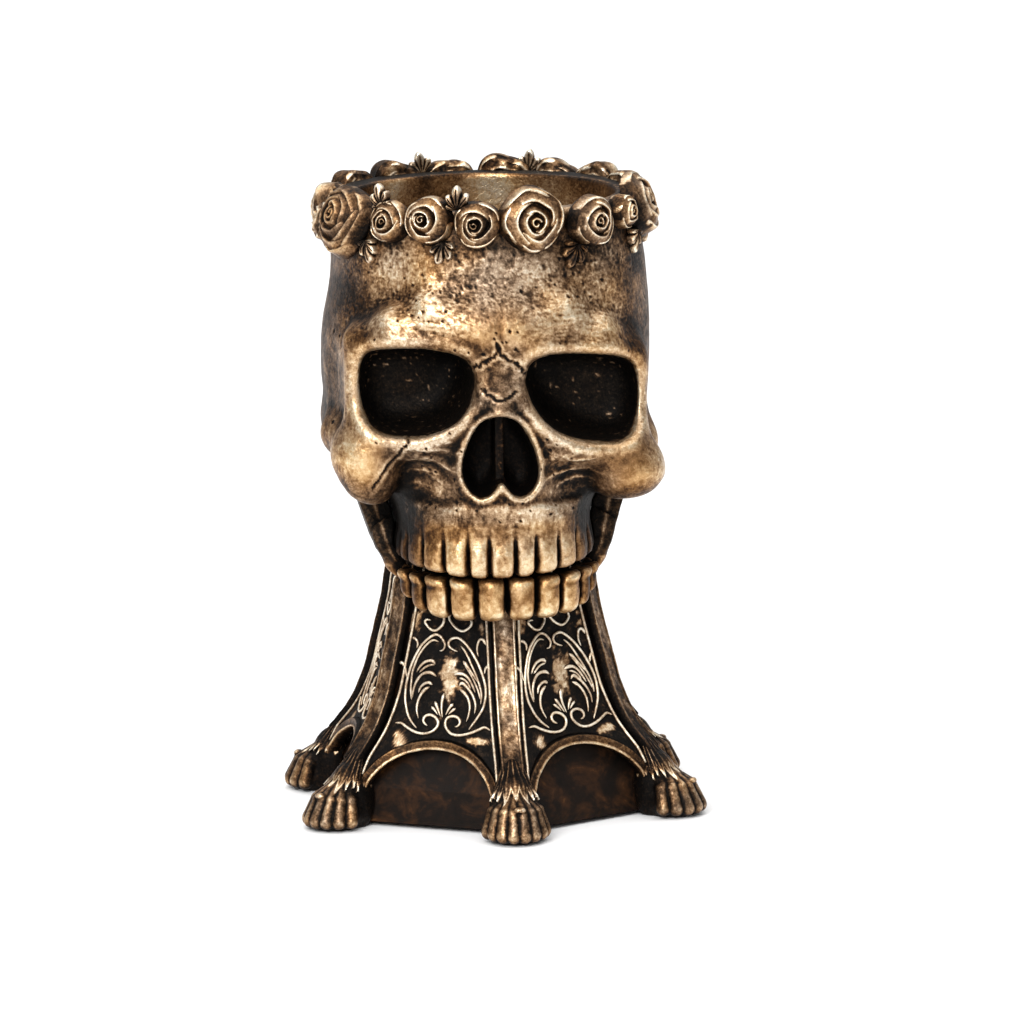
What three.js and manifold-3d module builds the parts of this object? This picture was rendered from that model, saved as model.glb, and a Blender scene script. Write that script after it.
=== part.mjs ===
// Skull vase: a hollow skull vessel crowned with roses, standing on a flared
// six-sided pedestal with scroll panels, arches and claw feet.
// Millimetres, +Z up. The origin is on the floor under the vase's axis and the
// face looks along -Y. Every casting is its own closed solid; bonded castings
// keep a glue line of about 0.3 mm between them.
import * as THREE from "three";
import { mergeVertices } from "three/addons/utils/BufferGeometryUtils.js";
import Module from "manifold-3d";

// ---------------------------------------------------------------- dimensions
const GLUE = 0.3; // bond line between two castings
const RIM_Z = 193; // top of the vessel's rim
const SEAT_Z = 84; // where the skull sits on the pedestal
const JAW_TOP_Z = 79.4; // biting edge of the lower teeth
const JAW_BOTTOM_Z = 66;
const SPIGOT_R = 14; // locating spigot on top of the pedestal
const SPIGOT_H = 8;
const CAVITY_R = 41; // vessel bore at the rim
const CAVITY_FLOOR_Z = 104;
const CAVITY_FLOOR_R = 24;
const CAVITY_CENTRE_Y = 2; // the bore's centre at the rim
const CAVITY_LEAN = 11; // the bore's floor lies this much further back than its mouth
const HEX = 6; // pedestal sides, ribs, panels, arches and feet
const RIB_W = 7;
const PANEL_T = 2;
const FOOT_R = 62.5; // radius of a foot's centre
const FLOOR_GAP = 1.5; // the pedestal core stops this far above the floor
// Rib outer edge, radius against height: the line the pedestal shows in profile.
const RIB_PROFILE = [
  [30.2, 83.7], [32.2, 79], [34.4, 74], [36.2, 65], [39.6, 52], [43.8, 38], [48.6, 29], [55.2, 21],
];
// Core corner radius against height.
const CORE_PROFILE = [
  [27.6, 84], [29.4, 79], [31.4, 74], [33.2, 65], [36.2, 52], [40.2, 38], [43.6, 30], [45.2, 26], [47.6, 20], [52.2, 12], [54.2, FLOOR_GAP],
];
// Roses on the crown: angle from the face's midline (degrees, + to the vase's
// right as seen from the front), height of centre, radius, tilt up (degrees).
const ROSES = [
  [-66.5, 188.2, 11.8, 22], [-42.4, 189.8, 6.9, 8], [-27.0, 190.6, 7.9, 8],
  [-8.8, 189.4, 7.7, 4], [12.2, 190.4, 10.6, 6], [36.0, 188.4, 8.3, 6],
  [55.0, 189.4, 5.6, 4], [71.0, 190.2, 10.4, 22], [93.5, 188.4, 7.0, 10],
  [111.5, 188.8, 8.4, 8], [131, 187.8, 9.6, 6], [149, 187.6, 9.4, 6],
  [167, 188.8, 9.8, 8], [-174.5, 188.0, 9.2, 6], [-155, 188.4, 9.6, 8],
  [-136, 187.8, 9.4, 6], [-117, 187.0, 8.6, 8], [-95.5, 185.0, 6.6, 14],
];
// Leaves: angle, height of centre, length, width, turn in the leaf's plane.
const LEAVES = [
  [-46.5, 197.6, 8.2, 8.4, 20], [-16, 197.6, 8.4, 9.4, -4], [-22, 181.2, 8.4, 9.2, 168],
  [-52, 180.2, 8.2, 8.6, 192], [27, 178.8, 8.8, 10.4, 158], [60, 180.0, 8.2, 8.6, 172],
  [79.5, 181.0, 8.4, 9, 188], [121, 181.0, 8.4, 9, 176], [158, 180.8, 8.6, 9, 186],
  [-166, 181.2, 8.4, 9, 174], [-128, 181.0, 8.4, 9, 184], [-84, 180.4, 8.4, 9, 170],
  [158, 195.2, 8.2, 9.4, 6], [-165, 195.2, 8.2, 9.4, -8],
];

// -------------------------------------------------------------------- helpers
const wasm = await Module();
wasm.setup();
const D = Math.PI / 180;

function solid(geometry) {
  const g = geometry.index ? geometry.toNonIndexed() : geometry.clone();
  const only = new THREE.BufferGeometry();
  only.setAttribute("position", g.getAttribute("position"));
  const merged = mergeVertices(only, 1e-4);
  const made = new wasm.Manifold(
    new wasm.Mesh({
      numProp: 3,
      vertProperties: new Float32Array(merged.attributes.position.array),
      triVerts: new Uint32Array(merged.index.array),
    }),
  );
  if (made.volume() < 0) throw new Error("a geometry is inside out");
  return made;
}

function geometryOf(manifold) {
  const m = manifold.getMesh();
  const v = new Float32Array(m.numVert * 3);
  for (let i = 0; i < m.numVert; i++) {
    v[i * 3] = m.vertProperties[i * m.numProp];
    v[i * 3 + 1] = m.vertProperties[i * m.numProp + 1];
    v[i * 3 + 2] = m.vertProperties[i * m.numProp + 2];
  }
  const g = new THREE.BufferGeometry();
  g.setAttribute("position", new THREE.BufferAttribute(v, 3));
  g.setIndex(new THREE.BufferAttribute(new Uint32Array(m.triVerts), 1));
  g.computeVertexNormals();
  return g;
}

// The largest body of a solid, so that a cut never leaves crumbs behind.
function largest(manifold) {
  return manifold.decompose().sort((a, b) => b.volume() - a.volume())[0];
}

function lathe(profile, segments, phi = 0) {
  // profile: [radius, z] from the axis round to the axis, turned about Z
  const points = profile.map(([r, z]) => new THREE.Vector2(Math.max(r, 0), z));
  const g = new THREE.LatheGeometry(points, segments, phi);
  g.rotateX(Math.PI / 2);
  return g;
}

function interpolate(table, z) {
  // table: [value, z] with z falling
  if (z >= table[0][1]) return table[0][0];
  for (let i = 1; i < table.length; i++) {
    const [v1, z1] = table[i], [v0, z0] = table[i - 1];
    if (z >= z1) return v1 + ((v0 - v1) * (z - z1)) / (z0 - z1);
  }
  return table[table.length - 1][0];
}

const smoothMin = (a, b, k) => {
  const h = Math.min(Math.max(0.5 + (0.5 * (b - a)) / k, 0), 1);
  return b + (a - b) * h - k * h * (1 - h);
};
const smoothMax = (a, b, k) => -smoothMin(-a, -b, k);

function ellipsoid(x, f, z, c, r) {
  const dx = x - c[0], df = f - c[1], dz = z - c[2];
  const k0 = Math.hypot(dx / r[0], df / r[1], dz / r[2]);
  const k1 = Math.hypot(dx / r[0] ** 2, df / r[1] ** 2, dz / r[2] ** 2);
  return k1 < 1e-9 ? -Math.min(...r) : (k0 * (k0 - 1)) / k1;
}

function bar(x, f, z, a, b, ra, rb) {
  const ba = [b[0] - a[0], b[1] - a[1], b[2] - a[2]];
  const pa = [x - a[0], f - a[1], z - a[2]];
  const h = Math.min(Math.max(
    (pa[0] * ba[0] + pa[1] * ba[1] + pa[2] * ba[2]) / (ba[0] ** 2 + ba[1] ** 2 + ba[2] ** 2), 0), 1);
  return Math.hypot(pa[0] - ba[0] * h, pa[1] - ba[1] * h, pa[2] - ba[2] * h) - (ra + (rb - ra) * h);
}

// Distance to the skull's outer form. x is to the side, f forwards out of the
// face, z up. Both sides are alike, so only |x| is used.
function braincase(x, f, z) {
  const n = 2.4, m = 2.35;
  const dz = (z - 143) / (z > 143 ? 95 : 55);
  const plan = Math.pow(x / 51, m) + Math.pow(Math.abs((f + 3) / (f > -3 ? 51.5 : 54)), m);
  return (Math.pow(Math.pow(plan, n / m) + Math.pow(Math.abs(dz), n), 1 / n) - 1) * 50;
}
const ARCH_X = 30, ARCH_F = 35.5, ARCH_BACK = 14, ARCH_N = 2.3; // plan of the tooth row
function toothArch(x, f) {
  const g = Math.pow(Math.pow(x / ARCH_X, ARCH_N) + Math.pow(Math.max(f - ARCH_BACK, 0) / ARCH_F, ARCH_N), 1 / ARCH_N);
  return (g - 1) * ARCH_X;
}
// The face is turned a little on its axis, and its right half hangs lower.
const FACE_TURN = 0.028, FACE_TILT = 0.06;
const ease = (a, b, v) => {
  const t = Math.min(Math.max((v - a) / (b - a), 0), 1);
  return t * t * (3 - 2 * t);
};
function skullField(sx, f, sz) {
  let d = braincase(Math.abs(sx), f, sz);
  const turned = sx + FACE_TURN * f;
  const x = Math.abs(turned);
  const z = sz + FACE_TILT * turned * ease(99, 113, sz) * (1 - ease(166, 182, sz)) * ease(-10, 20, f);
  // brow: the rim over each socket and the arch above it
  d = smoothMin(d, bar(x, f, z, [15, 45.6, 154.6], [31, 40.6, 155], 4.4, 4.4), 8);
  d = smoothMin(d, bar(x, f, z, [31, 40.6, 155], [40.8, 31, 149.5], 4.4, 4), 8);
  d = smoothMin(d, bar(x, f, z, [4, 47.4, 155.5], [20, 44.4, 162.5], 4.2, 3.4), 9);
  // outer rim of the socket
  d = smoothMin(d, bar(x, f, z, [40.8, 31, 149.5], [41.8, 31.5, 127], 4, 4.2), 6);
  // cheekbone, lower rim of the socket and cheek arch
  d = smoothMin(d, ellipsoid(x, f, z, [39.6, 33.5, 114], turned > 0 ? [12.4, 11, 13.6] : [10.6, 11, 13]), 6);
  d = smoothMin(d, bar(x, f, z, [38, 37, 120.5], [23, 42.3, 119.5], 4.4, 4), 6);
  d = smoothMin(d, bar(x, f, z, [23, 42.3, 119.5], [11, 46.5, 130], 4.2, 3.6), 6);
  d = smoothMin(d, bar(x, f, z, [44.6, 28, 115], [46.4, 10, 118], 4.6, 3.6), 8);
  d = smoothMin(d, bar(x, f, z, [46.4, 10, 118], [44.6, -14, 121], 3.6, 4.4), 9);
  // nasal bones
  d = smoothMin(d, bar(x, f, z, [0, 45, 149], [0, 49.5, 133.5], 5.6, 5), 6);
  // upper jaw
  d = smoothMin(d, ellipsoid(x, f, z, [0, 16, 108], [29, 34, 26]), 8);
  // the base of the skull, behind the jaw
  d = smoothMin(d, ellipsoid(x, f, z, [0, -10, 99], [37, 30, 15.5]), 6);
  let row = smoothMax(toothArch(x, f), Math.abs(z - 91) - 11.4, 3);
  row = smoothMax(row, -f - 4, 4);
  d = smoothMin(d, row, 5);
  // mastoids
  d = smoothMin(d, bar(x, f, z, [37, -14, 108], [34, -12, 96], 7.5, 5.5), 8);
  // hollows: temple, beside the nose, and behind the cheekbone
  d = smoothMax(d, -ellipsoid(x, f, z, [60, 17, 136], [11.5, 13, 15]), 6);
  d = smoothMax(d, -ellipsoid(x, f, z, [24.5, 50, 108], [7.5, 8.5, 8]), 7);
  return smoothMax(d, -ellipsoid(x, f, z, [41.5, 18, 99], [9.5, 18, 14]), 4);
}

// The skull's skin at a distance outside the field's zero: a sphere whose
// vertices are moved in along their rays until they meet it. The columns lie
// closer together over the face, and the rows start near the rim.
function skullSkin(offset, around, down) {
  const g = new THREE.SphereGeometry(1, around, down);
  g.rotateX(Math.PI / 2);
  const p = g.attributes.position;
  const centre = new THREE.Vector3(0, 4, 128);
  const dir = new THREE.Vector3(), q = new THREE.Vector3();
  for (let i = 0; i < p.count; i++) {
    dir.fromBufferAttribute(p, i).normalize();
    const v = Math.acos(Math.min(Math.max(dir.z, -1), 1)) / Math.PI;
    const k = (v * down - 1) / (down - 2);
    const theta = k < -1e-6 ? 0 : k > 1 + 1e-6 ? Math.PI : (30 + 142 * k) * D;
    const phi = Math.atan2(dir.x, -dir.y);
    const turned = phi - 0.42 * Math.sin(phi);
    dir.set(Math.sin(theta) * Math.sin(turned), -Math.sin(theta) * Math.cos(turned), Math.cos(theta));
    let t = 125;
    for (let n = 0; n < 200; n++) {
      q.copy(dir).multiplyScalar(t).add(centre);
      const s = skullField(q.x, -q.y, q.z) - offset;
      if (s < 0.02) break;
      t -= Math.max(s * 0.6, 0.02);
      if (t < 5) break;
    }
    q.copy(dir).multiplyScalar(t).add(centre);
    p.setXYZ(i, q.x, q.y, q.z);
  }
  return g;
}

// Outline of an eye socket seen from in front, as a distance, mm.
function socketOutline(x, z) {
  const n = 2.6, dx = x - 26.4, dz = z - 137, t = 3 * D;
  const a = dx * Math.cos(t) - dz * Math.sin(t), b = dx * Math.sin(t) + dz * Math.cos(t);
  const g = Math.pow(Math.pow(Math.abs(a / 18), n) + Math.pow(Math.abs(b / 13.6), n), 1 / n);
  return smoothMax((g - 1) * 15, -a * 0.62 - b * 0.78 - 13, 5);
}
// Outline of the pear-shaped nose opening seen from in front.
function noseOutline(x, z) {
  const dx = Math.abs(x) - 5, dz = z - 116.6, t = 14 * D;
  const a = dx * Math.cos(t) + dz * Math.sin(t), b = -dx * Math.sin(t) + dz * Math.cos(t);
  return (Math.hypot(a / 6.7, b / 12.6) - 1) * 8.5;
}
// A hole bored backwards from the face: an outline that draws in towards its end.
function bore(outline, cx, cz, points, fFront, fBack, steps, closeIn) {
  const ring = [];
  for (let i = 0; i < points; i++) {
    const a = (i / points) * Math.PI * 2;
    let r = 0;
    while (r < 30 && outline(cx + r * Math.cos(a), cz + r * Math.sin(a)) < 0) r += 0.05;
    ring.push(new THREE.Vector2(r * Math.cos(a), r * Math.sin(a)));
  }
  const g = new THREE.ExtrudeGeometry(new THREE.Shape(ring), { depth: 1, steps, bevelEnabled: false });
  const p = g.attributes.position;
  for (let i = 0; i < p.count; i++) {
    const t = p.getZ(i), k = closeIn(t);
    const f = fBack + (fFront - fBack) * t, x = cx + p.getX(i) * k;
    p.setXYZ(i, x - FACE_TURN * f, -f, cz + p.getY(i) * k - FACE_TILT * x);
  }
  return facingOut(g);
}

function facingOut(geometry) {
  const g = geometry.index ? geometry.toNonIndexed() : geometry;
  try {
    return solid(g);
  } catch (e) {
    if (!String(e).includes("inside out")) throw e;
    const p = g.attributes.position;
    for (let i = 0; i < p.count; i += 3) {
      const b = [p.getX(i + 1), p.getY(i + 1), p.getZ(i + 1)];
      p.setXYZ(i + 1, p.getX(i + 2), p.getY(i + 2), p.getZ(i + 2));
      p.setXYZ(i + 2, ...b);
    }
    return solid(g);
  }
}

const part = new THREE.Group();
const paint = (color, roughness, metalness) => new THREE.MeshStandardMaterial({ color, roughness, metalness });
const bronze = paint(0x8a6534, 0.42, 0.85);
const bronzeDark = paint(0x3a2a1a, 0.55, 0.7);
const bronzeBright = paint(0xb08a4e, 0.38, 0.9);

function add(name, shape, material) {
  const mesh = new THREE.Mesh(shape.isBufferGeometry ? shape : geometryOf(shape), material);
  mesh.name = name;
  part.add(mesh);
  return mesh;
}

// ------------------------------------------------------------------ pedestal
// A six-sided lathe is a hexagon with corners; the phase puts one at the front.
const hexOf = (profile) => facingOut(lathe(profile, HEX, 0));
const coreProfile = [[0, FLOOR_GAP], ...CORE_PROFILE.map(([r, z]) => [r, z]).reverse(), [0, SEAT_Z]];
let core = hexOf(coreProfile);
const hollow = facingOut(lathe([[0, -2], [40, -2], [39, 6], [35, 20], [30.5, 32], [26, 44], [22, 60], [19, 72], [0, 74]], 24));
const spigot = facingOut(lathe([[0, SEAT_Z - 2], [SPIGOT_R, SEAT_Z - 2], [SPIGOT_R, SEAT_Z + SPIGOT_H - 1], [SPIGOT_R - 1, SEAT_Z + SPIGOT_H], [0, SEAT_Z + SPIGOT_H]], 24));
core = core.subtract(hollow).add(spigot);
add("pedestal_core", core, bronzeDark);

// Everything above is kept clear of the pedestal by this slightly larger neck.
const neckFace = hexOf([[0, 50], ...RIB_PROFILE.slice(0, 5).reverse().map(([r, z]) => [r + 0.3, z]), [30.5, SEAT_Z + GLUE], [0, SEAT_Z + GLUE]]);
const spigotClear = facingOut(lathe([[0, SEAT_Z - 3], [SPIGOT_R + GLUE, SEAT_Z - 3], [SPIGOT_R + GLUE, SEAT_Z + SPIGOT_H + GLUE], [0, SEAT_Z + SPIGOT_H + GLUE]], 32));

// Side view of a rib, swept across its width, with a web back to the core.
function ribSolid(angle, gap = 0) {
  const s = new THREE.Shape();
  const outer = new THREE.SplineCurve(RIB_PROFILE.map(([r, z]) => new THREE.Vector2(r + gap, z))).getPoints(9);
  const inner = (z) => interpolate(CORE_PROFILE, z) + GLUE - 2 * gap;
  s.moveTo(outer[0].x, outer[0].y + gap);
  outer.slice(1).forEach((q) => s.lineTo(q.x, q.y));
  s.lineTo(52.2 + gap, 17.6 - gap);
  s.lineTo(inner(14), 14 - gap);
  for (const z of [20, 30, 38, 52, 65, 74, 79]) s.lineTo(inner(z), z);
  s.lineTo(inner(83.7), 83.7 + gap);
  s.closePath();
  const g = new THREE.ExtrudeGeometry(s, { depth: RIB_W + 2 * gap, bevelEnabled: false });
  g.translate(0, 0, -RIB_W / 2 - gap);
  g.rotateX(Math.PI / 2);
  g.rotateZ(angle);
  return facingOut(g);
}

// Shape seen from in front of a face: what one panel covers between two ribs.
const faceWidth = (z) => interpolate(RIB_PROFILE, z) - RIB_W / 2 / Math.cos(30 * D) * 2 - 0.9;
const ARCH_HALF = 21.5, ARCH_SPRING_Z = 9, ARCH_TOP_Z = 24.6, ARCH_BAND = 3;
function archPoint(t, grow) {
  // t from 0 to 1 goes over the arch from one springing to the other
  const a = Math.PI * (1 - t);
  return [(ARCH_HALF + grow) * Math.cos(a), ARCH_SPRING_Z + (ARCH_TOP_Z - ARCH_SPRING_Z + grow) * Math.sin(a)];
}
const PANEL_LOW_Z = 13.5;
function panelSolid(angle) {
  // the face's own curve, swept sideways
  const side = new THREE.Shape();
  const zs = [83.4, 74, 65, 52, 38, 29, 21, PANEL_LOW_Z];
  const face = (z) => (z > 21 ? interpolate(RIB_PROFILE, z) : 55.2 + (21 - z) * 0.55) * Math.cos(30 * D) - 1.1;
  side.moveTo(face(zs[0]), zs[0]);
  zs.slice(1).forEach((z) => side.lineTo(face(z), z));
  const inner = zs.slice().reverse();
  const coreFace = (z) => interpolate(CORE_PROFILE, z) * Math.cos(30 * D) + GLUE;
  inner.forEach((z) => side.lineTo(Math.max(face(z) - PANEL_T, z > 30 ? coreFace(z) : 0), z));
  side.closePath();
  const g = new THREE.ExtrudeGeometry(side, { depth: 90, bevelEnabled: false });
  g.translate(0, 0, -45);
  g.rotateX(Math.PI / 2);
  // the outline, swept outwards: ribs to the sides, arch below
  const front = new THREE.Shape();
  const w = (z) => (z > 21 ? faceWidth(z) : faceWidth(21) + (21 - z) * 0.5) / 2;
  front.moveTo(w(83.4), 83.4);
  [74, 65, 52, 38, 29, 21, PANEL_LOW_Z].forEach((z) => front.lineTo(w(z), z));
  const n = 14, grow = ARCH_BAND + 0.35;
  for (let i = 0; i <= n; i++) {
    const [u, z] = archPoint(1 - i / n, grow);
    if (z > PANEL_LOW_Z + 0.3 && Math.abs(u) < w(z) - 0.5) front.lineTo(u, z);
  }
  [PANEL_LOW_Z, 21, 29, 38, 52, 65, 74].forEach((z) => front.lineTo(-w(z), z));
  front.lineTo(-w(83.4), 83.4);
  front.closePath();
  const o = new THREE.ExtrudeGeometry(front, { depth: 70, bevelEnabled: false });
  // shape x -> sideways (y), shape y -> z, depth -> outwards (x)
  o.applyMatrix4(new THREE.Matrix4().makeBasis(new THREE.Vector3(0, 1, 0), new THREE.Vector3(0, 0, 1), new THREE.Vector3(1, 0, 0)));
  const made = largest(facingOut(g).intersect(facingOut(o)));
  return made.rotate([0, 0, angle / D]);
}

// The raised moulding round an arch: a bar along a curve on the flared face.
function archSolid(angle, gap = 0) {
  const pts = [];
  for (let i = 0; i <= 16; i++) {
    const [u, z] = archPoint(i / 16, ARCH_BAND / 2);
    const face = (z > 21 ? interpolate(RIB_PROFILE, z) : 55.2 + (21 - z) * 0.55) * Math.cos(30 * D) - 1.2;
    pts.push(new THREE.Vector3(Math.min(face, 49.2), u, z));
  }
  const curve = new THREE.CatmullRomCurve3(pts);
  const section = new THREE.Shape();
  const h = ARCH_BAND / 2 + gap;
  [[-h, -h], [h, -h], [h, h], [-h, h]].forEach(([a, b], i) => (i ? section.lineTo(a, b) : section.moveTo(a, b)));
  section.closePath();
  const g = new THREE.ExtrudeGeometry(section, { steps: 14, extrudePath: curve, bevelEnabled: false });
  return facingOut(g).rotate([0, 0, angle / D]);
}

// A claw foot: a broad paw with ridged toes, flat underneath, and an ankle.
function footSolid(angle, gap = 0) {
  const paw = new THREE.SphereGeometry(1, 22, 8);
  paw.rotateX(Math.PI / 2);
  const p = paw.attributes.position;
  for (let i = 0; i < p.count; i++) {
    const [a, b, c] = [p.getX(i), p.getY(i), p.getZ(i)];
    const phi = Math.atan2(b, a);
    const toe = a > 0 ? 1 + 0.05 * Math.cos(phi * 11) * Math.hypot(a, b) : 1;
    p.setXYZ(i, a * (9.0 + gap) * toe, b * (10.3 + gap) * toe, 2.2 + c * ((c > 0 ? 11 : 4) + gap));
  }
  paw.translate(FOOT_R, 0, 0);
  const ankle = new THREE.CylinderGeometry(3.4 + gap, 8.6 + gap, 15 + 2 * gap, 10, 1);
  ankle.rotateX(Math.PI / 2);
  const q = ankle.attributes.position;
  for (let i = 0; i < q.count; i++) {
    const z = q.getZ(i) + 7.5; // 0 at the foot to 15 at the rib
    q.setXYZ(i, q.getX(i) * 0.62 + FOOT_R - 1 - z * 0.62, q.getY(i), z + 8);
  }
  const below = new THREE.BoxGeometry(60, 60, 20).translate(FOOT_R, 0, -10);
  let foot = facingOut(paw).add(facingOut(ankle)).subtract(facingOut(below));
  return largest(foot).rotate([0, 0, angle / D]);
}

const front = -90 * D; // the direction of the face in the XY plane
const ribs = [], feet = [], panels = [], arches = [];
for (let i = 0; i < HEX; i++) {
  const corner = front + i * 60 * D;
  ribs.push(ribSolid(corner));
  feet.push(footSolid(corner));
  panels.push(panelSolid(corner + 30 * D));
  arches.push(archSolid(corner + 30 * D));
}
// Feet stop short of the ribs, arches of ribs and feet, panels of all of them.
const coreClear = hexOf([[0, 0], ...CORE_PROFILE.slice().reverse().map(([r, z], i) => [r + 0.36, i ? z : 0.8]), [0, SEAT_Z]]);
for (let i = 0; i < HEX; i++) {
  const corner = front + i * 60 * D;
  feet[i] = largest(feet[i].subtract(ribSolid(corner, GLUE)).subtract(coreClear));
}
for (let i = 0; i < HEX; i++) {
  const corner = front + i * 60 * D, next = corner + 60 * D, middle = corner + 30 * D;
  const around = ribSolid(corner, GLUE).add(ribSolid(next, GLUE)).add(footSolid(corner, GLUE)).add(footSolid(next, GLUE));
  arches[i] = largest(arches[i].subtract(around).subtract(coreClear));
  panels[i] = largest(panels[i].subtract(around).subtract(archSolid(middle, GLUE)).subtract(coreClear));
}
for (let i = 0; i < HEX; i++) {
  const n = i + 1;
  add(`corner_rib_${n}`, ribs[i], bronze);
  add(`claw_foot_${n}`, feet[i], bronzeBright);
  add(`scroll_panel_${n}`, panels[i], bronzeDark);
  add(`arch_moulding_${n}`, arches[i], bronze);
}

// --------------------------------------------------------------------- skull
let neckClear = neckFace;
for (let i = 0; i < HEX; i++) neckClear = neckClear.add(ribSolid(front + i * 60 * D, GLUE + 0.05));
const AROUND = 56, DOWN = 36;
const below = (z) => facingOut(new THREE.BoxGeometry(160, 160, 60).translate(0, 0, z - 30));
const above = (z) => facingOut(new THREE.BoxGeometry(160, 160, 120).translate(0, 0, z + 60));
const skullClear = facingOut(skullSkin(0.6, AROUND, DOWN)).subtract(above(RIM_Z + 4));
const cavity = (() => {
  const g = lathe([[0, CAVITY_FLOOR_Z], [CAVITY_FLOOR_R - 4, CAVITY_FLOOR_Z], [CAVITY_FLOOR_R, CAVITY_FLOOR_Z + 4], [CAVITY_FLOOR_R + 7, 130], [CAVITY_R - 2, 160], [CAVITY_R, RIM_Z - 6], [CAVITY_R + 0.4, RIM_Z + 6], [0, RIM_Z + 6]], 36);
  const p = g.attributes.position;
  for (let i = 0; i < p.count; i++) {
    const down = (RIM_Z - p.getZ(i)) / (RIM_Z - CAVITY_FLOOR_Z);
    p.setY(i, p.getY(i) + CAVITY_CENTRE_Y + CAVITY_LEAN * Math.max(down, 0));
  }
  return facingOut(g);
})();
// Upper teeth: a scalloped band round the front of the tooth row.
const UPPER_GAPS = [4.1, 10.7, 17.9, 23.8, 27.8];
const archF = (x) => ARCH_BACK + ARCH_F * Math.pow(Math.max(1 - Math.pow(Math.abs(x) / ARCH_X, ARCH_N), 0), 1 / ARCH_N);
function toothBand(gaps, out, inset, z0, z1, taper, line) {
  const half = gaps[0] > 0 ? [-gaps[0], ...gaps] : gaps; // the first tooth may straddle the middle
  const all = [...new Set([...half.map((g) => -g), ...half])].sort((a, b) => a - b);
  const s = new THREE.Shape();
  const at = (x, o) => {
    const f = line(x), e = 0.3, t = Math.atan2(line(x + e) - line(x - e), 2 * e);
    return [x - o * Math.sin(t), f + o * Math.cos(t)];
  };
  const pts = [];
  for (let i = 0; i < all.length - 1; i++) {
    pts.push(at(all[i], -0.3));
    for (const k of [0.12, 0.36, 0.64, 0.88]) pts.push(at(all[i] + (all[i + 1] - all[i]) * k, k > 0.2 && k < 0.8 ? out : out * 0.72));
  }
  pts.push(at(all[all.length - 1], -0.3));
  pts.forEach(([x, f], i) => (i ? s.lineTo(x, -f) : s.moveTo(x, -f)));
  s.lineTo(pts[pts.length - 1][0] - inset, -10);
  s.lineTo(pts[0][0] + inset, -10);
  s.closePath();
  const g = new THREE.ExtrudeGeometry(s, { depth: z1 - z0, steps: 2, bevelEnabled: false });
  const p = g.attributes.position;
  for (let i = 0; i < p.count; i++) {
    const t = p.getZ(i) / (z1 - z0);
    const k = 1 - taper * t * t;
    p.setXYZ(i, p.getX(i) * k, (p.getY(i) + 14) * k - 14, p.getZ(i) + z0);
  }
  return facingOut(g);
}
let skull = facingOut(skullSkin(0, AROUND, DOWN)).subtract(above(RIM_Z));
skull = skull.add(toothBand(UPPER_GAPS, 0.9, 2, JAW_TOP_Z + GLUE, 97, 0.06, archF));
skull = skull.subtract(cavity);
for (const side of [-1, 1]) {
  skull = skull.subtract(bore((x, z) => socketOutline(x * side, z), 26.4 * side, 137, 24, 64, 22, 6, (t) => [0.56, 0.86, 0.97, 1, 1, 1, 1][Math.round(t * 6)]));
}
skull = skull.subtract(bore(noseOutline, 0, 117, 28, 64, 34, 5, (t) => [0.6, 0.9, 1, 1, 1, 1][Math.round(t * 5)]));
skull = skull.subtract(neckClear).subtract(spigotClear);
skull = largest(skull.subtract(below(JAW_TOP_Z + GLUE)));
add("skull_vessel", skull, bronze);

// Lower jaw: a horseshoe wall round the neck. Seen from the side it is the
// tooth row in front and rises behind into the two branches.
const JAW_OUTER = [[0, 46.6], [8, 46], [15.4, 43], [22.8, 36.8], [27.9, 27], [30.6, 17], [31.4, 6], [31.6, -8]];
const JAW_INNER = [[0, 36.2], [8, 36], [14, 34.4], [19.4, 29.6], [23.8, 22], [26.4, 13], [27.2, 4], [27.4, -10]];
function jawWall() {
  const both = (half) => [...half.slice(1).reverse().map(([x, f]) => [-x, f]), ...half];
  const smooth = (half) => new THREE.SplineCurve(both(half).map(([x, f]) => new THREE.Vector2(x, -f))).getPoints(28);
  const outer = smooth(JAW_OUTER), inner = smooth(JAW_INNER).reverse();
  const s = new THREE.Shape();
  [...outer, ...inner].forEach((q, i) => (i ? s.lineTo(q.x, q.y) : s.moveTo(q.x, q.y)));
  s.closePath();
  const g = new THREE.ExtrudeGeometry(s, { depth: 60, steps: 6, bevelEnabled: false });
  g.translate(0, 0, 60);
  const p = g.attributes.position;
  for (let i = 0; i < p.count; i++) {
    const z = p.getZ(i), flare = Math.min(Math.max(z - 77, 0), 7) * 0.857 + Math.max(z - 84, 0) * 0.318;
    p.setX(i, p.getX(i) + Math.sign(p.getX(i)) * Math.min(flare, Math.abs(p.getX(i)) * 0.46));
  }
  return facingOut(g);
}
function jawSide() {
  const s = new THREE.Shape();
  [[60, JAW_BOTTOM_Z], [40, JAW_BOTTOM_Z], [32, 67.4], [24, 71.2], [16, 78], [8, 85], [2, 94], [-2, 108],
    [10, 108], [12, 96], [16, 86], [21, JAW_TOP_Z], [60, JAW_TOP_Z]].forEach(([f, z], i) => (i ? s.lineTo(-f, z) : s.moveTo(-f, z)));
  s.closePath();
  const g = new THREE.ExtrudeGeometry(s, { depth: 110, bevelEnabled: false });
  // shape x -> y, shape y -> z, depth -> x
  g.applyMatrix4(new THREE.Matrix4().makeBasis(new THREE.Vector3(0, 1, 0), new THREE.Vector3(0, 0, 1), new THREE.Vector3(1, 0, 0)));
  g.translate(-55, 0, 0);
  return facingOut(g);
}
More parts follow.
